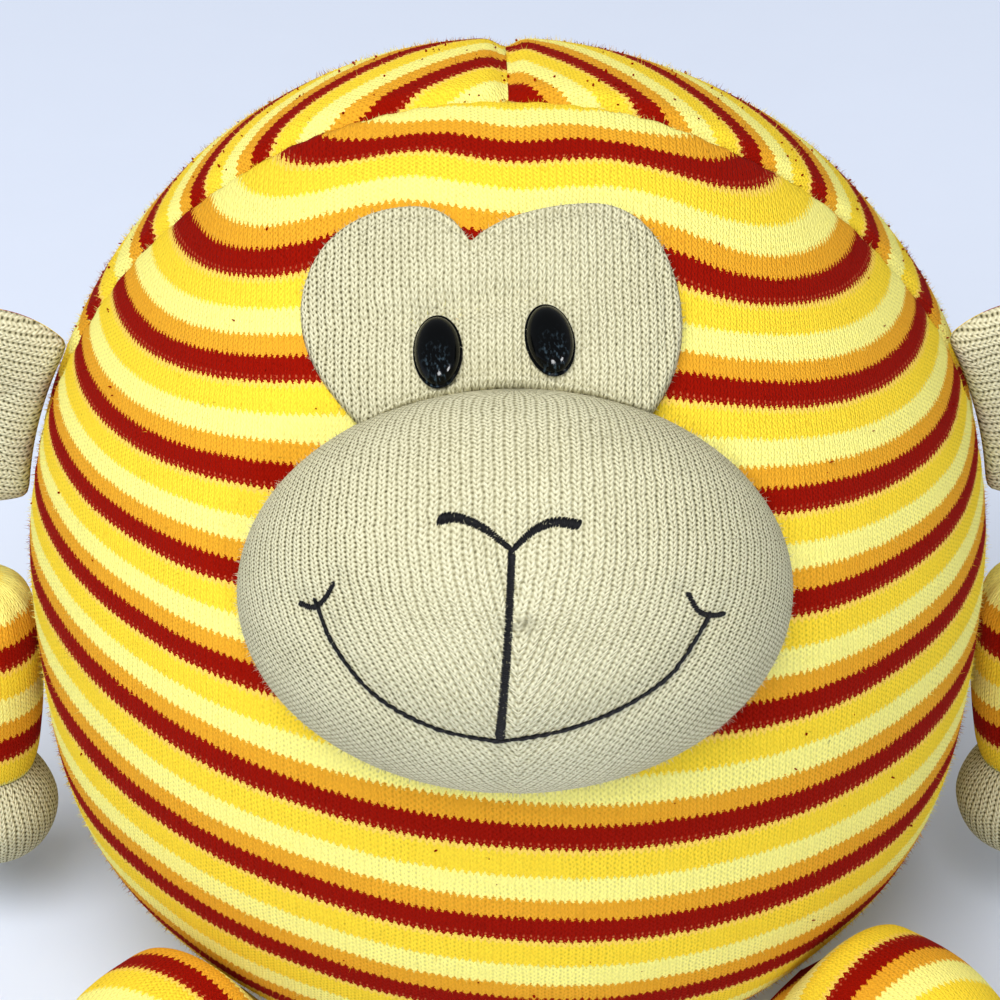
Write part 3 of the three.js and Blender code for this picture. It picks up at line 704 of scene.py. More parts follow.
def ball_relief(point, down):
    """Lumps of the filling, valleys and puckers at the seams, and hollows for the muzzle and arms."""
    lift = LUMP_DEPTH * (noise.noise(point * FINE_LUMPS) + 1.4 * noise.noise(point * BROAD_LUMPS))
    pucker = 0.5 + 0.5 * math.sin(FULL_TURN * down / PUCKER_PITCH + 4 * noise.noise(point * 30))
    seams = [abs(point.y)]
    if point.y > 0:
        seams.append(abs(point.x))
    else:
        lift -= MUZZLE_SEAM_DEPTH * dent(from_muzzle(*on_plan(point)), 2 * SEAM_WIDTH)
    mirrored = Vector((abs(point.x), point.y, point.z))
    lift -= ARM_HOLLOW_DEPTH * dent((mirrored - ARM_HOLLOW).length, ARM_HOLLOW_WIDTH)
    for away in seams:
        lift -= SEAM_DEPTH * dent(away, SEAM_WIDTH)
        lift -= PUCKER_DEPTH * pucker * dent(away, 3 * SEAM_WIDTH)
    return lift


def on_panel(down, azimuth):
    """A place on the ball's cloth."""
    radius, height, outward = on_meridian(down)
    spread = Vector((math.sin(azimuth), -math.cos(azimuth), 0))
    point = spread * radius + Vector((0, 0, height))
    lift = ball_relief(point, down)
    lift *= 1 - smooth_step(down, MERIDIAN_LENGTH - SEAT_FADE, MERIDIAN_LENGTH)
    point += (spread * outward.x + Vector((0, 0, outward.y))) * lift
    point.z = max(point.z, LOWEST_CLOTH)
    return point


def front_stitches(down, turn):
    """The front's stripes bow about the face, and lean down a little to the right."""
    azimuth = turn - QUARTER_TURN
    degrees = down / DEGREE
    side = math.sin(azimuth)
    share = 1 - degrees / FRONT_BOW_END
    high, low = FRONT_BOW_POWERS
    power = high + (low - high) * smooth_step(degrees, *FRONT_BOW_CHANGE)
    bow = FRONT_LOW_BOW * share * side ** 2
    if share > 0:
        bow = abs(side) ** power * sum(part * share ** step for step, part in enumerate(FRONT_BOW, 1))
    straight = 1 - smooth_step(degrees, *CROWN_STRAIGHT)
    wide = on_meridian(down)[0] * (azimuth + (side - azimuth) * straight)
    degrees *= 1 - bow - FRONT_LEAN * side
    return wide / STRIPE_WALE, (degrees - FRONT_RED) / FRONT_REPEAT * REPEAT + RED_MIDDLE


def back_stitches(side):
    """The backs are knitted the other way up, and their stripes run straight up to the seam between them."""
    def to_stitches(down, turn):
        aside = turn + BACK_START[side] - BACK_FACING[side]
        degrees = down / DEGREE
        straight = 1 - smooth_step(degrees, *CROWN_STRAIGHT)
        wide = on_meridian(down)[0] * (aside + (math.sin(aside) - aside) * straight)
        degrees *= 1 - straight * (1 - math.cos(aside))
        return wide / STRIPE_WALE, RED_MIDDLE - (degrees - BACK_RED[side]) / BACK_REPEAT[side] * REPEAT
    return to_stitches


def make_panel(name, node, start, turn, spokes, to_stitches):
    """One panel of the ball, from an azimuth through a turn."""
    bm = fan(0, MERIDIAN_LENGTH, PANEL_RINGS, turn, spokes)

    def to_place(down, angle):
        return on_panel(down, angle + start)

    piece = cut_knit(name, bm, to_stitches, to_place, BALL_CENTRE, "striped_knit", "body", node)
    thicken(piece)
    return piece


def make_base_panel():
    """The round of knit under the toy, drawn in at its seam."""
    def to_stitches(away, turn):
        return away * math.cos(turn) / STRIPE_WALE, away * math.sin(turn) / STRIPE_COURSE

    def to_place(away, turn):
        height = BASE_PULL * dent(SEAT_RADIUS - away, SEAM_WIDTH)
        return Vector((away * math.cos(turn), away * math.sin(turn), height))

    bm = fan(0, SEAT_RADIUS, 16, FULL_TURN, 48)
    labels = ("striped_knit", "body", "base_panel")
    thicken(cut_knit("base_knit", bm, to_stitches, to_place, BALL_CENTRE, *labels))


# Muzzle, with its chevron of wales and the dart under the chin
CHEVRON = 0.62
CHEVRON_TOP = 25 * MM
CHEVRON_SPAN = 50 * MM
DART_TOP = -46 * MM
DART_ASIDE = -3 * MM
DART_DEPTH = 1.0 * MM
DART_WIDTH = 2 * MM
DART_FADE = 6 * MM
THREAD_PULL = 1.3 * MM
THREAD_PULL_WIDTH = 3.5 * MM

# Lines of the embroidery on the face's plan, in millimetres across and up
NOSE_LINE = ((-1.3, -3.6), (-2.5, -26), (-4.3, -48))
NOSTRIL_LINES = {
    "left": ((-18.2, 3.6), (-13.6, 3.9), (-7.8, 1.5), (-1.7, -3.3)),
    "right": ((14.4, 2), (8.9, 2.8), (3.8, 0.9), (-0.9, -3.3)),
}
SMILE_LINES = {
    "left": ((-46.7, -15.9), (-42.7, -25.6), (-33.5, -37), (-19.6, -45), (-4.6, -48.3)),
    "right": ((-4, -48.3), (10.4, -45.8), (24.3, -40.5), (36, -32.5), (44.5, -19.8)),
}
CHEEK_LINES = {
    "left": ((-50.8, -15.7), (-47.4, -16.7), (-44.6, -14.4), (-42.7, -11)),
    "right": ((39.7, -14), (42, -18), (45, -19.3), (48.5, -19)),
}


def smooth_line(points, count):
    """Even shares of a smooth curve through points, in metres."""
    last = len(points) - 1
    line = []
    for step in range(count + 1):
        spot = min(step / count * last, last - TINY)
        first = int(spot)
        share = spot - first
        p0, p1, p2, p3 = (Vector(points[min(max(first + k, 0), last)]) for k in (-1, 0, 1, 2))
        slope1, slope2 = (p2 - p0) / 2, (p3 - p1) / 2
        line.append((
            p1 + slope1 * share
            + (3 * (p2 - p1) - 2 * slope1 - slope2) * share ** 2
            + (2 * (p1 - p2) + slope1 + slope2) * share ** 3
        ) * MM)
    return line


THREAD_LINES = [NOSE_LINE, *NOSTRIL_LINES.values(), *SMILE_LINES.values(), *CHEEK_LINES.values()]
THREAD_SPOTS = [spot for line in THREAD_LINES for spot in smooth_line(line, 24)]


def muzzle_arc(half, angle):
    """The length along the muzzle's curve, from its tip to an angle, where it is so wide or high."""
    def pace(part):
        return math.hypot(half * math.cos(part), MUZZLE_HALF_DEPTH * math.sin(part))

    return angle * (pace(0) + 4 * pace(angle / 2) + pace(angle)) / 6


def muzzle_stitches(away, turn):
    """Wales run down the muzzle and lean in towards the dart below its middle."""
    lean = away * muzzle_edge(turn)
    span = math.hypot(MUZZLE_HALF_WIDTH * math.cos(turn), MUZZLE_HALF_HEIGHT * math.sin(turn))
    tall = muzzle_arc(span, lean) * math.sin(turn)
    level = math.sqrt(max(1 - (math.sin(lean) * math.sin(turn)) ** 2, 0.05))
    aside = math.atan2(math.sin(lean) * math.cos(turn), math.cos(lean))
    wide = level * muzzle_arc(MUZZLE_HALF_WIDTH, aside)
    below = max(CHEVRON_TOP - tall, 0)
    drawn_in = below ** 2 / (2 * CHEVRON_SPAN) if below < CHEVRON_SPAN else below - CHEVRON_SPAN / 2
    return (wide + math.copysign(CHEVRON * drawn_in, wide)) / BEIGE_WALE, -tall / BEIGE_COURSE


def pull_in_threads(piece):
    """Sinks the muzzle's cloth along the embroidery and the dart."""
    threads = KDTree(len(THREAD_SPOTS))
    for index, spot in enumerate(THREAD_SPOTS):
        threads.insert(spot.to_3d(), index)
    threads.balance()
    for vert in piece.data.vertices:
        spot = Vector(on_plan(vert.co))
        nearest = threads.find(spot.to_3d())[2]
        depth = THREAD_PULL * dent(nearest, THREAD_PULL_WIDTH)
        below = smooth_step(DART_TOP - spot.y, 0, DART_FADE)
        depth += DART_DEPTH * dent(spot.x - DART_ASIDE, DART_WIDTH) * below
        vert.co -= MUZZLE_OUT * depth


def settle(piece):
    """Keeps what a piece's modifiers make as its own mesh."""
    finer = bpy.data.meshes.new_from_object(piece.evaluated_get(bpy.context.evaluated_depsgraph_get()))
    piece.modifiers.clear()
    piece.data = finer


def make_muzzle():
    """The stuffed muzzle: a dome of beige knit sewn to the front."""
    def to_place(away, turn):
        return on_muzzle(away * muzzle_edge(turn), turn)

    bm = fan(0, 1, 22, FULL_TURN, 72)
    middle = MUZZLE_SEAT - MUZZLE_OUT * MUZZLE_SINK
    labels = ("beige_knit", "body", "muzzle_cover")
    piece = cut_knit("muzzle_knit", bm, muzzle_stitches, to_place, middle, *labels)
    swell(piece, SOFT_PRESSURE, 2.5 * MM)
    refine(piece, 2)
    settle(piece)
    pull_in_threads(piece)
    thicken(piece)
    return piece


# Brow patch: a heart-topped piece of beige knit with a turned hem, under the eyes
BROW_MIDDLE = (-5, 50)
BROW_START = (26, 20)
BROW_CURVES = (
    ((37, 31), (41.5, 41), (41, 52)),
    ((40.5, 68), (32, 79.5), (20, 79.5)),
    ((8, 79.5), (-4, 76), (-10, 69.5)),
    ((-13, 75), (-17, 78.5), (-24, 78.5)),
    ((-40, 78.5), (-50, 68), (-51, 55)),
    ((-51.5, 43), (-45, 33), (-31, 20)),
)
BROW_RISE = 3.4 * MM
HEM_WIDTH = 4.2 * MM
HEM_DEPTH = 0.7 * MM
HEM_GROOVE = 1.2 * MM
CREASE_UP = 54.5 * MM
CREASE_DEPTH = 3.2 * MM
CREASE_WIDTH = 4.5 * MM
CREASE_WAVE = 3 * MM
CREASE_RUN = 5
CREASE_MIDDLE = -10 * MM
CREASE_REACH = 32 * MM
EYE_PRESS = 1.8 * MM
EYE_PRESS_WIDTH = 10 * MM
BROW_LUMPS = 0.4 * MM
BROW_LEAST = 0.2 * MM
BROW_TUCK = 0.8 * MM
BROW_TRIM = 0.25 * MM


def brow_reaches():
    """The outline by its turn about the patch's middle: sorted pairs of turn and distance."""
    pairs = []
    start = Vector(BROW_START)
    for first, second, end in BROW_CURVES:
        for step in range(16):
            share = step / 16
            keep = 1 - share
            spot = start * keep ** 3 + Vector(end) * share ** 3
            spot += 3 * keep * share * (Vector(first) * keep + Vector(second) * share)
            away, turn = polar((spot - Vector(BROW_MIDDLE)).to_3d())
            pairs.append((turn, away * MM))
        start = Vector(end)
    away, turn = polar((start - Vector(BROW_MIDDLE)).to_3d())
    pairs.append((turn, away * MM))
    return sorted(pairs)


BROW_REACHES = brow_reaches()


def brow_reach(turn):
    """How far the patch goes from its middle: to its outline, or to the muzzle's seam below."""
    pairs = BROW_REACHES
    late = next((k for k, (edge, _) in enumerate(pairs) if edge > turn), 0)
    (turn0, away0), (turn1, away1) = pairs[late - 1], pairs[late]
    share = ((turn - turn0) % FULL_TURN) / ((turn1 - turn0) % FULL_TURN)
    reach = away0 + (away1 - away0) * share
    while from_muzzle(*brow_spot(reach, turn)) < -BROW_TUCK:
        reach -= BROW_TRIM
    return reach


def brow_spot(away, turn):
    return BROW_MIDDLE[0] * MM + away * math.cos(turn), BROW_MIDDLE[1] * MM + away * math.sin(turn)


# Eyes
EYE_WIDTH = 12 * MM
EYE_LENGTH = 18.5 * MM
EYE_RISE = 5.5 * MM
EYE_RIM = 0.8 * MM
EYE_BASE = 2.6 * MM
SHANK_RADIUS = 2 * MM
SHANK_LENGTH = 15 * MM
WASHER_RADIUS = 8 * MM
WASHER_THICKNESS = 1.5 * MM
WASHER_DEPTH = 3.4 * MM
EYES = {"left": (-17.7 * MM, 42.7 * MM, 1), "right": (8.5 * MM, 45.2 * MM, 10)}


def on_brow(away, turn):
    """A place on the patch, whose edge is turned under, with a crease above the eyes."""
    reach = brow_reach(turn)
    across, up = brow_spot(away * reach, turn)
    point, outward = on_ball(across, up)
    inset = (1 - away) * reach
    rise = BROW_RISE * math.sqrt(max(0.0, 1 - (1 - min(inset / BROW_RISE, 1)) ** 2))
    rise -= HEM_DEPTH * dent(inset - HEM_WIDTH, HEM_GROOVE)
    wave = CREASE_WAVE * noise.noise(point * 25)
    crease = dent(up - CREASE_UP - across / CREASE_RUN - wave, CREASE_WIDTH)
    rise -= CREASE_DEPTH * crease * dent(across - CREASE_MIDDLE, CREASE_REACH)
    for eye_across, eye_up, _ in EYES.values():
        rise -= EYE_PRESS * dent(math.hypot((across - eye_across) * 1.4, up - eye_up), EYE_PRESS_WIDTH)
    rise += BROW_LUMPS * noise.noise(point * 60)
    return point + outward * (max(rise, BROW_LEAST) + max(ball_relief(point, 0), 0))


def make_brow_patch():
    def to_stitches(away, turn):
        across, up = brow_spot(away * brow_reach(turn), turn)
        return across / BROW_WALE, -up / BEIGE_COURSE

    bm = fan(0, 1, 36, FULL_TURN, 144)
    piece = cut_knit("brow_knit", bm, to_stitches, on_brow, BALL_CENTRE, "beige_knit", "body", "brow_patch")
    thicken(piece, 1.0 * MM)
    return piece


def eye_seat(side):
    """Turns and carries a shape on the plan's origin to an eye's place on the ball."""
    across, up, tilt = EYES[side]
    point, outward = on_ball(across, up)
    right = X_AXIS - outward * outward.x
    right = Matrix.Rotation(math.radians(tilt), 3, outward) @ right.normalized()
    turned = Matrix((right, outward.cross(right), outward)).transposed().to_4x4()
    return Matrix.Translation(point) @ turned


def lathe(outline, spokes):
    """A closed round solid from half its section, radius and height."""
    bm = turn_chain(outline, FULL_TURN, spokes)
    bmesh.ops.recalc_face_normals(bm, faces=bm.faces)
    return bm


def make_eye(side):
    """A glossy oval dome on a thin rim, with its barbed shank."""
    dome = [(0.93 * math.cos(a), EYE_RIM + (EYE_RISE - EYE_RIM) * math.sin(a)) for a in
            (QUARTER_TURN * (1 - k / 14) for k in range(15))]
    rim = [(0.95, EYE_RIM * 0.8), (0.98, EYE_RIM), (1.0, EYE_RIM * 0.75), (1.0, EYE_RIM * 0.25), (0.97, 0.0)]
    oval = lathe([*dome, *rim, (SHANK_RADIUS / EYE_WIDTH, 0.0)], 64)
    layer = oval.loops.layers.uv.new("dome")
    for face in oval.faces:
        for loop in face.loops:
            loop[layer].uv = loop.vert.co.to_2d()
    for vert in oval.verts:
        vert.co.x *= EYE_WIDTH / 2
        vert.co.y *= EYE_LENGTH / 2
    barbs = 5
    foot = EYE_RIM - SHANK_LENGTH
    shank = [(0.0, 0.1 * MM), (SHANK_RADIUS, 0.1 * MM)]
    for barb in range(1, barbs + 1):
        height = foot * barb / barbs
        shank += [(SHANK_RADIUS * 0.86, height + 0.5 * MM), (SHANK_RADIUS, height + 0.2 * MM)]
    shank += [(SHANK_RADIUS * 0.8, foot), (0.0, foot)]
    post = lathe(shank, 20)
    spare = bpy.data.meshes.new("shank")
    post.to_mesh(spare)
    post.free()
    oval.from_mesh(spare)
    bpy.data.meshes.remove(spare)
    bmesh.ops.transform(oval, matrix=eye_seat(side) @ Matrix.Translation((0, 0, EYE_BASE)), verts=oval.verts)
    new_piece(f"eye_dome_{side}", oval, "eye_plastic", "body", f"eye_{side}")


def make_washer(side):
    """The toothed washer that locks an eye's shank inside the ball."""
    inner = SHANK_RADIUS + 0.3 * MM
    low, high = -WASHER_DEPTH - WASHER_THICKNESS, -WASHER_DEPTH
    bevel = 0.3 * MM
    ring = [
        (inner, low), (WASHER_RADIUS - bevel, low), (WASHER_RADIUS, low + bevel),
        (WASHER_RADIUS, high - bevel), (WASHER_RADIUS - bevel, high), (0.6 * WASHER_RADIUS, high),
        (0.5 * WASHER_RADIUS, high - bevel), (inner, high - bevel), (inner, low),
    ]
    bm = lathe(ring, 40)
    bmesh.ops.transform(bm, matrix=eye_seat(side), verts=bm.verts)
    new_piece(f"eye_lock_{side}", bm, "washer_plastic", "body", f"eye_washer_{side}")


# Embroidery: satin strands laid across a line, and back stitches laid along one
STRAND_RADIUS = 0.3 * MM
SATIN_PITCH = 0.42 * MM
SATIN_SLANT = math.radians(24)
BACK_STITCH_LENGTH = 3.4 * MM
BACK_STITCH_PITCH = 2.2 * MM
BACK_STITCH_SLANT = math.radians(9)
NOSE_WIDTH = (2.0 * MM, 2.6 * MM)
NOSTRIL_WIDTH = (3.5 * MM, 1.6 * MM)
SMILE_WIDTH = 1.15 * MM
CHEEK_WIDTH = (1.7 * MM, 1.4 * MM)


def stitch_steps(points, pitch):
    """Even steps along a line of embroidery: the share done, the spot and the direction there."""
    line = smooth_line(points, 60)
    length = sum((b - a).length for a, b in zip(line, line[1:]))
    count = round(length / pitch)
    line = smooth_line(points, count)
    for step, spot in enumerate(line):
        tangent = line[min(step + 1, count)] - line[max(step - 1, 0)]
        yield step / count, spot, tangent.normalized()


class Embroiderer:
    """Lays strands of thread on the muzzle's cloth, as the face's plan shows them."""

    def __init__(self, cloth):
        self.cloth = BVHTree.FromObject(cloth, bpy.context.evaluated_depsgraph_get())
        self.random = random.Random(7)
        self.start()

    def start(self):
        self.bm = bmesh.new()
        self.bm.loops.layers.uv.new("stitches")

    def strand(self, spot, way, half, thick):
        """One strand, rounded at both ends, along a way on the plan."""
        above = BALL_CENTRE + X_AXIS * spot.x + FACE_UP * spot.y + FACE_OUT * 2 * BODY_RADIUS
        hit, outward, _, _ = self.cloth.ray_cast(above, -FACE_OUT)
        along = X_AXIS * way.x + FACE_UP * way.y
        along = (along - outward * along.dot(outward)).normalized()
        turned = Matrix((outward.cross(along), outward, along)).transposed().to_4x4()
        size = Matrix.Diagonal((thick, thick * 0.85, half, 1))
        seat = Matrix.Translation(hit + outward * thick * 0.55)
        bmesh.ops.create_uvsphere(
            self.bm, u_segments=8, v_segments=7, radius=1, matrix=seat @ turned @ size, calc_uvs=True
        )

    def satin(self, points, widths):
        """Strands side by side across a line, whose width changes from one end to the other."""
        for share, spot, tangent in stitch_steps(points, SATIN_PITCH):
            slant = SATIN_SLANT + self.random.uniform(-0.12, 0.12)
            way = Matrix.Rotation(QUARTER_TURN - slant, 2) @ tangent
            width = widths[0] + (widths[1] - widths[0]) * share
            width *= min(1.0, 0.7 + 6 * min(share, 1 - share))
            half = width / 2 * self.random.uniform(0.94, 1.1)
            self.strand(spot, way, half, STRAND_RADIUS * self.random.uniform(0.9, 1.15))

    def back_stitch(self, points):
        """Stitches end over end along a line, each a little askew."""
        for _, spot, tangent in stitch_steps(points, BACK_STITCH_PITCH):
            slant = BACK_STITCH_SLANT + self.random.uniform(-0.08, 0.08)
            way = Matrix.Rotation(slant, 2) @ tangent
            self.strand(spot, way, BACK_STITCH_LENGTH / 2, SMILE_WIDTH / 2 * self.random.uniform(0.85, 1.1))

    def finish(self, name, node):
        new_piece(name, self.bm, "embroidery_thread", "body", node)
        self.start()


def embroider(muzzle):
    """The nose line, the two nostrils and the two halves of the smile."""
    hand = Embroiderer(muzzle)
    hand.satin(NOSE_LINE, NOSE_WIDTH)
    hand.finish("nose_threads", "nose_stitch")
    for side in SIDES:
        hand.satin(NOSTRIL_LINES[side], NOSTRIL_WIDTH)
        hand.finish(f"nostril_threads_{side}", f"nostril_stitch_{side}")
        hand.back_stitch(SMILE_LINES[side])
        hand.satin(CHEEK_LINES[side], CHEEK_WIDTH)
        hand.finish(f"smile_threads_{side}", f"smile_stitch_{side}")


# Ears: a beige front and a striped back, padded and sewn round the edge
EAR_LATITUDE = math.radians(16)
EAR_RADIUS = 30 * MM
EAR_REACH = 46 * MM
EAR_ROOT_GAP = 0.7 * MM
EAR_CROWN = 5.0 * MM
EAR_DISH = 2.2 * MM


def ear_frame(side):
    """The ear's root on the ball, and its directions along the root and outwards."""
    aside, height = BODY_RADIUS * math.cos(EAR_LATITUDE), CROWN_HEIGHT * math.sin(EAR_LATITUDE)
    root = Vector((SIDES[side] * aside, 0, height))
    outward = Vector((root.x / BODY_RADIUS ** 2, 0, root.z / CROWN_HEIGHT ** 2)).normalized()
    along = Vector((0, 1, 0)).cross(outward)
    return root + BALL_CENTRE, along, outward


def ear_reach(turn):
    """How far the ear goes from its middle: to its round edge, or to the ball."""
    middle = EAR_REACH - EAR_RADIUS
    apart = BODY_RADIUS + middle
    slope = math.sin(turn) * apart
    spare = slope ** 2 - apart ** 2 + (BODY_RADIUS + EAR_ROOT_GAP) ** 2
    if slope > 0 or spare < 0:
        return EAR_RADIUS
    return min(EAR_RADIUS, -slope - math.sqrt(spare))


def make_ear(side, layer):
    """One layer of an ear. The front is dished a little, as the back is rounder."""
    root, along, outward = ear_frame(side)
    facing = -1 if layer == "front" else 1
    middle = EAR_REACH - EAR_RADIUS
    slot = "beige_knit" if layer == "front" else "striped_knit"

    def on_ear(away, turn):
        reach = away * ear_reach(turn)
        spot = root + along * (reach * math.cos(turn)) + outward * (middle + reach * math.sin(turn))
        crown = EAR_CROWN * math.sqrt(max(0.0, 1 - away ** 4))
        if layer == "front":
            crown -= EAR_DISH * (1 - smooth_step(away, 0.0, 0.75))
        crown += 0.5 * MM * noise.noise(spot * 70) * (1 - away)
        return spot + Vector((0, facing * (0.15 * MM + crown), 0))

    def to_stitches(away, turn):
        reach = away * ear_reach(turn)
        wide, tall = reach * math.cos(turn), reach * math.sin(turn)
        if layer == "front":
            return wide / BEIGE_WALE, -tall / BEIGE_COURSE
        return wide / STRIPE_WALE, -tall / STRIPE_COURSE

    bm = fan(0, 1, 12, FULL_TURN, 60)
    inside = root + outward * middle - Vector((0, facing * EAR_RADIUS, 0))
    name, node = f"ear_{layer}_knit_{side}", f"ear_{layer}_{side}"
    piece = cut_knit(name, bm, to_stitches, on_ear, inside, slot, None, node)
    pad(piece, SOFT_PRESSURE, 1.2 * MM, 0.45)
    tuple(root)
    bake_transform(piece)


# Limbs: round covers with a sewn root and a cuff, closed by a beige hand or foot
ARM_RADIUS = 17 * MM
ARM_LENGTH = 64 * MM
ARM_CUFF_RADIUS = 14 * MM
HAND_RADIUS = 19 * MM
HAND_LENGTH = 30 * MM
LEG_RADIUS = 26 * MM
LEG_LENGTH = 70 * MM
LEG_CUFF_RADIUS = 20 * MM
LEG_ROOT_WIDTH = 42 * MM
LEG_ROOT_TAPER = 20 * MM
FOOT_RADIUS = 28 * MM
FOOT_LENGTH = 38 * MM
LEG_AZIMUTH = {"left": math.radians(42), "right": math.radians(46)}
LEG_BEND = {"left": math.radians(34), "right": math.radians(28)}
TAIL_RADIUS = 11 * MM
TAIL_LENGTH = 150 * MM
TAIL_ROOT_WIDTH = 18 * MM
TAIL_ROOT_TAPER = 30 * MM
TAIL_TIP_RADIUS = 4.4 * MM
TAIL_TIP = 2.4 * MM
TAIL_BEND = math.radians(70)
ROOT_THICKNESS = 4 * MM
ROOT_SOLID = 14 * MM
SEWN_GAP = 0.3 * MM
STUFFING_INSET = 2.8 * MM
CUFF_DEPTH = 1.2 * MM
CUFF_WIDTH = 2.6 * MM
GATHERS = 9
GATHER_DEPTH = 0.8 * MM
GATHER_PLACE = 6 * MM
GATHER_WIDTH = 10 * MM
END_SEAM_DEPTH = 1.0 * MM
END_SEAM_WIDTH = 0.12
# The way that each cover's stripes run, and the course at its root
LEG_STRIPES = {"left": (1, 4.0), "right": (-1, 2.5)}
ARM_STRIPES = (1, 9.0)
TAIL_STRIPES = (1, 5.0)
LIMB_RINGS = 22
END_RINGS = 16
TAIL_RINGS = 44
LIMB_SPOKES = 40
JOINTS = {joint["name"]: joint["pos_m"] for joint in frame["record"]["behaviour"]["joints"]}


class Limb:
    """The shape of one limb: its round outline, its flat sewn root, its bend and where it is sewn on."""

    def __init__(self, outline, length, root, bend, whole, seat):
        self.outline = outline
        self.length = length
        self.root = root
        self.bend = bend
        self.whole = whole
        self.seat = seat

    def place(self, along, turn, radius):
        """A point at a distance along the limb, a turn round it and a radius from its middle line."""
        wide, thick = radius * math.cos(turn), radius * math.sin(turn)
        if self.root:
            width, taper = self.root
            flat = ROOT_THICKNESS / width
            thick *= flat + (1 - flat) * smooth_step(along, ROOT_THICKNESS / 2, taper)
        if self.bend:
            arc = self.whole / self.bend
            wide, along = arc - (arc - wide) * math.cos(along / arc), (arc - wide) * math.sin(along / arc)
        return self.seat @ Vector((wide, along, thick))

    def radius(self, along):
        """The cover's radius at a distance along the limb."""
        for (radius0, along0), (radius1, along1) in zip(self.outline, self.outline[1:]):
            if along <= along1:
                return radius0 + (radius1 - radius0) * (along - along0) / max(along1 - along0, TINY)
        return self.outline[-1][0]


def smooth_outline(stations):
    """A smooth outline through stations, each a radius and a distance."""
    line = smooth_line([(radius / MM, along / MM) for radius, along in stations], 40)
    return [tuple(spot) for spot in line]


def limb_outline(root_radius, root_depth, length, stations):
    """Radius and distance from the rounded root through stations given as a share of the length."""
    outline = []
    for step in range(9):
        turn = QUARTER_TURN * step / 8
        outline.append((root_radius * math.sin(turn), root_depth * (1 - math.cos(turn))))
    places = [(radius, root_depth + share * (length - root_depth)) for share, radius in stations]
    return outline + smooth_outline([outline[-1], *places])[1:]


def seat_at_joint(joint, outward):
    """A limb's place, its flat root's middle on a joint: x across, y out from the ball, z down."""
    root = Vector(JOINTS[joint]) - outward * ROOT_THICKNESS / 2
    turned = Matrix((outward.cross(DOWN), outward, DOWN)).transposed().to_4x4()
    return Matrix.Translation(root) @ turned


def leg_limb(side):
    sign = SIDES[side]
    whole = LEG_LENGTH + SEWN_GAP + FOOT_LENGTH
    stations = [(0.3, 0.95 * LEG_RADIUS), (0.6, LEG_RADIUS), (1, LEG_CUFF_RADIUS)]
    outline = limb_outline(LEG_ROOT_WIDTH / 2, ROOT_THICKNESS / 2, LEG_LENGTH, stations)
    outward = Vector((sign * math.sin(LEG_AZIMUTH[side]), -math.cos(LEG_AZIMUTH[side]), 0))
    seat = seat_at_joint(f"leg_{side}_fold", outward)
    return Limb(outline, LEG_LENGTH, (LEG_ROOT_WIDTH, LEG_ROOT_TAPER), -sign * LEG_BEND[side], whole, seat)


def arm_limb(side):
    outline = limb_outline(ARM_RADIUS, ARM_RADIUS, ARM_LENGTH, [(0.5, ARM_RADIUS), (1, ARM_CUFF_RADIUS)])
    seat = Matrix.Translation(Vector(JOINTS[f"arm_{side}_swing"]) - DOWN * ARM_RADIUS)
    return Limb(outline, ARM_LENGTH, None, 0, ARM_LENGTH, seat @ Matrix.Rotation(-QUARTER_TURN, 4, "X"))


def tail_limb():
    stations = [(0.25, TAIL_RADIUS), (0.7, TAIL_RADIUS), (0.93, 0.8 * TAIL_RADIUS), (1, TAIL_TIP_RADIUS)]
    outline = limb_outline(TAIL_ROOT_WIDTH / 2, ROOT_THICKNESS / 2, TAIL_LENGTH, stations)
    outline += [(0.7 * TAIL_TIP_RADIUS, TAIL_LENGTH + 1.6 * MM), (0.0, TAIL_LENGTH + TAIL_TIP)]
    seat = seat_at_joint("tail_swing", Vector((0, 1, 0)))
    root = (TAIL_ROOT_WIDTH, TAIL_ROOT_TAPER)
    return Limb(outline, TAIL_LENGTH + TAIL_TIP, root, TAIL_BEND, TAIL_LENGTH, seat)


def make_tube(name, limb, start, end, radius_at, to_stitches, rings, slot, body, node):
    """A tube round a limb's middle line, between two distances along it."""
    def stitches_at(away, turn):
        return to_stitches(start + away - 1, turn)

    def to_place(away, turn):
        along = start + away - 1
        return limb.place(along, turn, radius_at(along, turn))

    bm = fan(1, 1 + end - start, rings, FULL_TURN, LIMB_SPOKES)
    inside = limb.place((start + end) / 2, 0, 0)
    return cut_knit(name, bm, stitches_at, to_place, inside, slot, body, node)


def make_cover(name, node, limb, fullest, direction, first_course, most, fill, rings=LIMB_RINGS):
    """A striped cover, gathered at its root and drawn in at its cuff."""
    wales = round(FULL_TURN * fullest / STRIPE_WALE)

    def to_stitches(along, turn):
        return wales * turn / FULL_TURN, first_course + direction * along / STRIPE_COURSE

    def radius_at(along, turn):
        folds = math.sin(GATHERS * turn + 3 * math.sin(2 * turn))
        gather = GATHER_DEPTH * folds * dent(along - GATHER_PLACE, GATHER_WIDTH)
        cuff = CUFF_DEPTH * dent(limb.length - along, CUFF_WIDTH)
        radius = limb.radius(along)
        return max(radius + gather * min(1, radius / fullest) - cuff * min(1, radius / fullest), 0)

    piece = make_tube(name, limb, 0, limb.length, radius_at, to_stitches, rings, "striped_knit", None, node)
    pad(piece, FIRM_PRESSURE, most, fill)
    return piece


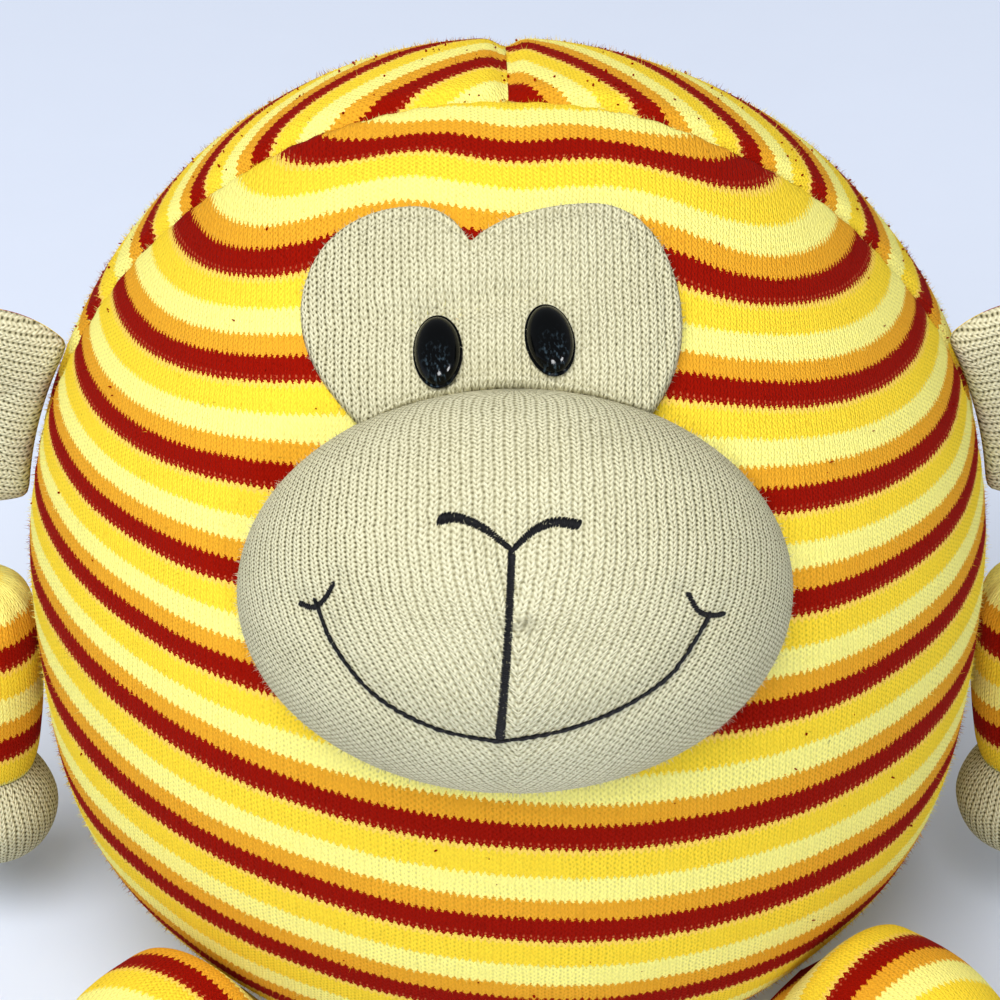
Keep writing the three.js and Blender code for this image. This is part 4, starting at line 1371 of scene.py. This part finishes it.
def make_limb_end(name, node, limb, body, cuff, swelling, end, most):
    """A rounded beige hand or foot that closes the cuff, with a seam round its edge."""
    start = limb.length + SEWN_GAP
    shape = ((cuff, 0), (swelling, 0.45), (0.72 * swelling, 0.86), (0, 1))
    stations = [(radius, start + share * end) for radius, share in shape]
    shape = Limb(smooth_outline(stations), limb.length, None, limb.bend, limb.whole, limb.seat)
    wales = round(FULL_TURN * swelling / BEIGE_WALE)

    def to_stitches(along, turn):
        return wales * turn / FULL_TURN, along / BEIGE_COURSE

    def radius_at(along, turn):
        radius = max(shape.radius(along), 0)
        seam = END_SEAM_DEPTH * dent(math.cos(turn), END_SEAM_WIDTH) * min(1, radius / swelling)
        return max(radius - seam - CUFF_DEPTH * dent(along - start, CUFF_WIDTH), 0)

    span = (start, start + end)
    piece = make_tube(name, shape, *span, radius_at, to_stitches, END_RINGS, "beige_knit", None, node)
    pad(piece, FIRM_PRESSURE, most, 0.75)
    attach(piece, body)


def make_limb_stuffing(name, node, limb, body):
    """The filling of a cover, from past its flat root to its cuff."""
    start, end = ROOT_SOLID + 1 * MM, limb.length - 1.5 * MM

    def to_stitches(along, turn):
        return turn, along / MM

    def radius_at(along, turn):
        share = (along - start) / (end - start)
        room = max(limb.radius(along) - STUFFING_INSET, 0.2 * MM)
        return room * min(1, math.sqrt(max(0, 1 - (2 * share - 1) ** 10)))

    piece = make_tube(name, limb, start, end, radius_at, to_stitches, LIMB_RINGS, "stuffing", body, node)


def sew_on(cover, body, limb):
    """Bakes a cover's place into its own mesh."""
    root, free = limb.place(0, 0, 0), limb.place(ROOT_SOLID, 0, 0)
    tuple(root)
    tuple(free)
    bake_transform(cover)


def make_leg(side):
    limb, body = leg_limb(side), f"leg_{side}"
    names = (f"leg_knit_{side}", f"leg_cover_{side}")
    sew_on(make_cover(*names, limb, LEG_RADIUS, *LEG_STRIPES[side], 1.2 * MM, 0.7), body, limb)
    size = (LEG_CUFF_RADIUS, FOOT_RADIUS, FOOT_LENGTH)
    make_limb_end(f"foot_knit_{side}", f"foot_{side}", limb, body, *size, 1.2 * MM)
    make_limb_stuffing(f"leg_filling_{side}", f"leg_stuffing_{side}", limb, body)


def make_arm(side):
    limb, body = arm_limb(side), f"arm_{side}"
    names = (f"arm_knit_{side}", f"arm_cover_{side}")
    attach(make_cover(*names, limb, ARM_RADIUS, *ARM_STRIPES, 0.3 * MM, 0.7), body)
    size = (ARM_CUFF_RADIUS, HAND_RADIUS, HAND_LENGTH)
    make_limb_end(f"hand_knit_{side}", f"hand_{side}", limb, body, *size, 1.0 * MM)
    make_limb_stuffing(f"arm_filling_{side}", f"arm_stuffing_{side}", limb, body)


def make_tail():
    limb, body = tail_limb(), "tail"
    names = ("tail_knit", "tail_cover")
    sew_on(make_cover(*names, limb, TAIL_RADIUS, *TAIL_STRIPES, 0.8 * MM, 0.65, TAIL_RINGS), body, limb)
    make_limb_stuffing("tail_filling", "tail_stuffing", limb, body)


# Stuffing of the ball and the muzzle
BODY_FILL_SEARCH = (0.05, 0.2)
BODY_FILL_INSET = 4.5 * MM
BODY_FILL_LUMPS = 1.5 * MM
EYE_HOLLOW = 13 * MM
EYE_HOLLOW_WIDTH = 15 * MM
MUZZLE_FILL_INSET = 4 * MM
MUZZLE_FILL_LUMPS = 0.6 * MM
MUZZLE_FILL_SHORT = 0.12
MUZZLE_FILL_BACK = 0.93


def ball_reach(way):
    """How far the ball goes from its middle in a direction, down to the seat."""
    def inside(reach):
        return outside_ball(BALL_CENTRE + way * reach) < 0 and SEAT_DEPTH + way.z * reach > 0

    return furthest(inside, *BODY_FILL_SEARCH, 24)


def make_body_stuffing():
    """The lumpy filling of the ball, pushed back behind the eyes."""
    bm = bmesh.new()
    bmesh.ops.create_icosphere(bm, subdivisions=5, radius=1)
    seats = [on_ball(across, up)[0] for across, up, _ in EYES.values()]
    for vert in bm.verts:
        way = vert.co.normalized()
        spot = BALL_CENTRE + way * ball_reach(way)
        inset = BODY_FILL_INSET + BODY_FILL_LUMPS * noise.noise(spot * 40)
        inset += EYE_HOLLOW * max(dent((spot - seat).length, EYE_HOLLOW_WIDTH) for seat in seats)
        vert.co = spot - way * inset
    new_piece("body_filling", bm, "stuffing", "body", "body_stuffing")


def make_muzzle_stuffing():
    """The filling between the muzzle's cloth and the ball."""
    middle = MUZZLE_SEAT

    def to_place(away, turn):
        edge = muzzle_edge(turn) - MUZZLE_FILL_SHORT
        if away > 1:
            rim = on_muzzle(edge, turn)
            point, outward = on_ball(*on_plan(middle + (rim - middle) * (2 - away) * MUZZLE_FILL_BACK))
            return point + outward * 1.2 * MM
        spot = on_muzzle(away * edge, turn)
        lump = MUZZLE_FILL_LUMPS * noise.noise(spot * 60)
        return spot + (middle - spot).normalized() * (MUZZLE_FILL_INSET * (1 - 0.35 * away ** 4) + lump)

    bm = fan(0, 2, 36, FULL_TURN, 60)
    lay(bm, to_place, middle + MUZZLE_OUT * 12 * MM)
    new_piece("muzzle_filling", bm, "stuffing", "body", "muzzle_stuffing")


# Loose fibres that stand off the knit, and pills caught on it
FIBRE_RADIUS = 0.075 * MM
FIBRE_LENGTH = (0.6 * MM, 2.2 * MM)
FIBRE_LEAN = 0.75
PILL_RADIUS = (0.12 * MM, 0.42 * MM)
PILL_LEAN = 0.8
LOWEST_FIBRE = 6 * MM
BATCH = 50


def scatter(piece, count, seed):
    """Even random spots on a piece's mesh: place, outward direction and place in stitches."""
    mesh = piece.data
    draw = random.Random(seed)
    stitches = mesh.uv_layers["stitches"].uv
    faces = draw.choices(mesh.polygons, weights=[face.area for face in mesh.polygons], k=count)
    for face in faces:
        loops = list(face.loop_indices)
        shares = [draw.random() for _ in loops]
        total = sum(shares)
        spot, stitch = Vector((0, 0, 0)), Vector((0, 0))
        for share, loop in zip(shares, loops):
            spot += mesh.vertices[mesh.loops[loop].vertex_index].co * (share / total)
            stitch += stitches[loop].vector * (share / total)
        if spot.z > LOWEST_FIBRE:
            yield draw, spot, face.normal.copy(), stitch


def make_many(spots, make_one):
    """Small shapes at many spots, each in the yarn of one stitch. An operator goes over the whole mesh
    that it works in, so they are made a batch at a time."""
    whole = bmesh.new()
    whole.loops.layers.uv.new("stitches")
    batch_mesh = bpy.data.meshes.new("batch")
    spots = list(spots)
    for first in range(0, len(spots), BATCH):
        batch = bmesh.new()
        layer = batch.loops.layers.uv.new("stitches")
        for spot in spots[first:first + BATCH]:
            made, stitch = make_one(batch, *spot)
            for vert in made["verts"]:
                for loop in vert.link_loops:
                    loop[layer].uv = stitch
        batch.to_mesh(batch_mesh)
        batch.free()
        whole.from_mesh(batch_mesh)
    bpy.data.meshes.remove(batch_mesh)
    return whole


def any_way(draw):
    """A random direction."""
    return Vector((draw.uniform(-1, 1), draw.uniform(-1, 1), draw.uniform(-1, 1)))


def make_fibres(piece, name, slot, count, seed):
    """Fine tapered fibres, each in the yarn that it comes from."""
    def one_fibre(bm, draw, spot, outward, stitch):
        way = (outward + any_way(draw) * FIBRE_LEAN).normalized()
        length = draw.uniform(*FIBRE_LENGTH)
        turned = way.to_track_quat("Z", "Y").to_matrix().to_4x4()
        seat = Matrix.Translation(spot + way * length * 0.42) @ turned
        made = bmesh.ops.create_cone(
            bm, cap_ends=False, segments=3, radius1=FIBRE_RADIUS, radius2=0, depth=length, matrix=seat
        )
        return made, stitch

    new_piece(name, make_many(scatter(piece, count, seed), one_fibre), slot, "body")


def make_pills(piece, name, count, seed):
    """Tiny matted balls of red yarn on the striped knit."""
    def one_pill(bm, draw, spot, outward, stitch):
        size = draw.uniform(*PILL_RADIUS)
        stretch = Matrix.Diagonal((size, size * draw.uniform(0.3, 1.0), size * draw.uniform(0.6, 2.2), 1))
        turned = (outward + any_way(draw) * PILL_LEAN).to_track_quat("Z", "Y").to_matrix().to_4x4()
        seat = Matrix.Translation(spot + outward * size * 0.6) @ turned @ stretch
        made = bmesh.ops.create_icosphere(bm, subdivisions=1, radius=1, matrix=seat)
        return made, (round(stitch.x), RED_MIDDLE)

    new_piece(name, make_many(scatter(piece, count, seed), one_pill), "striped_knit", "body")


# The toy
front = make_panel("front_knit", "front_panel", -QUARTER_TURN, 2 * QUARTER_TURN, PANEL_RINGS, front_stitches)
backs = {}
for side, start in BACK_START.items():
    names = (f"back_knit_{side}", f"back_panel_{side}")
    backs[side] = make_panel(*names, start, QUARTER_TURN, PANEL_RINGS // 2, back_stitches(side))
make_base_panel()
make_body_stuffing()
muzzle = make_muzzle()
make_muzzle_stuffing()
brow = make_brow_patch()
embroider(muzzle)
for side in SIDES:
    make_eye(side)
    make_washer(side)
    for layer in ("front", "back"):
        make_ear(side, layer)
    make_arm(side)
    make_leg(side)
make_tail()

make_fibres(front, "front_fibres", "striped_knit", 22000, 11)
make_pills(front, "front_pills", 90, 21)
for side in SIDES:
    make_fibres(backs[side], f"back_fibres_{side}", "striped_knit", 11000, 12)
    make_pills(backs[side], f"back_pills_{side}", 600, 22)
make_fibres(muzzle, "muzzle_fibres", "beige_knit", 4000, 13)
make_fibres(brow, "brow_fibres", "beige_knit", 2000, 14)


# Floor, light and camera
FLOOR_COLOURS = (from_srgb(216, 224, 241), from_srgb(218, 226, 243))
FLOOR_HALF = 8
CAMERA_DISTANCE = 1.2
SENSOR = 36
FRAME_PIXELS = 1000
FOCAL_PIXELS = 4495
BALL_MIDDLE_PIXEL = (508, 530)
CAMERA_ASIDE = math.radians(-0.8)


def make_floor():
    """A plain pale floor, wide enough to fill the view."""
    material, tree, shader = new_material("pale_floor", {"Roughness": 0.9, "Specular IOR Level": 0.1})
    grain = speckle(tree, add(tree, "TexCoord").outputs["Object"], 40, 3.0)
    colour_by(tree, shader, grain, list(enumerate(FLOOR_COLOURS)))
    bm = bmesh.new()
    bmesh.ops.create_grid(bm, x_segments=1, y_segments=1, size=FLOOR_HALF)
    new_object("floor", bm, material)


def make_lamp(name, place, target, size, power, mirrored=False):
    """A round lamp that lights the toy, or one that is only seen as a highlight in what is glossy."""
    lamp = bpy.data.lights.new(name, "AREA")
    lamp.shape = "DISK"
    lamp.size = size
    lamp.energy = power
    holder = bpy.data.objects.new(name, lamp)
    holder.visible_diffuse = not mirrored
    holder.visible_glossy = mirrored
    holder.location = place
    holder.rotation_euler = (Vector(place) - Vector(target)).to_track_quat("Z", "Y").to_euler()
    bpy.context.scene.collection.objects.link(holder)


def make_light():
    """A bright room, a wide soft lamp above, a weaker one from the front, and two low windows that the eyes
    mirror."""
    world = bpy.data.worlds.new("studio")
    world.use_nodes = True
    background = world.node_tree.nodes["Background"].inputs
    background["Color"].default_value = (0.94, 0.97, 1.0, 1)
    background["Strength"].default_value = 0.5
    bpy.context.scene.world = world
    make_lamp("overhead", (-0.45, -0.9, 1.75), (0, 0, 0.1), 1.8, 42)
    make_lamp("front_fill", (0.35, -1.8, 0.35), (0, 0, 0.12), 0.28, 6)
    make_lamp("front_window", (0.05, -1.8, 0.26), (0, 0, 0.2), 0.48, 34, True)
    make_lamp("side_window", (1.45, -1.25, 0.3), (0, 0, 0.2), 0.4, 24, True)


def make_camera():
    """Looks at the ball from the face's lean, with the ball's middle where the photograph has it."""
    lens = bpy.data.cameras.new("camera")
    lens.sensor_width = lens.sensor_height = SENSOR
    lens.lens = SENSOR * FOCAL_PIXELS / FRAME_PIXELS
    holder = bpy.data.objects.new("camera", lens)
    pixel = CAMERA_DISTANCE / FOCAL_PIXELS
    aside = X_AXIS * (FRAME_PIXELS / 2 - BALL_MIDDLE_PIXEL[0]) * pixel
    above = FACE_UP * (BALL_MIDDLE_PIXEL[1] - FRAME_PIXELS / 2) * pixel
    from_ball = FACE_OUT * CAMERA_DISTANCE + aside + above
    turn = Matrix.Rotation(CAMERA_ASIDE, 3, "Z")
    holder.location = BALL_CENTRE + turn @ from_ball
    holder.rotation_euler = (turn @ FACE_OUT).to_track_quat("Z", "Y").to_euler()
    bpy.context.scene.collection.objects.link(holder)
    bpy.context.scene.camera = holder


make_floor()
make_light()
make_camera()
bpy.context.scene.view_settings.view_transform = "Standard"
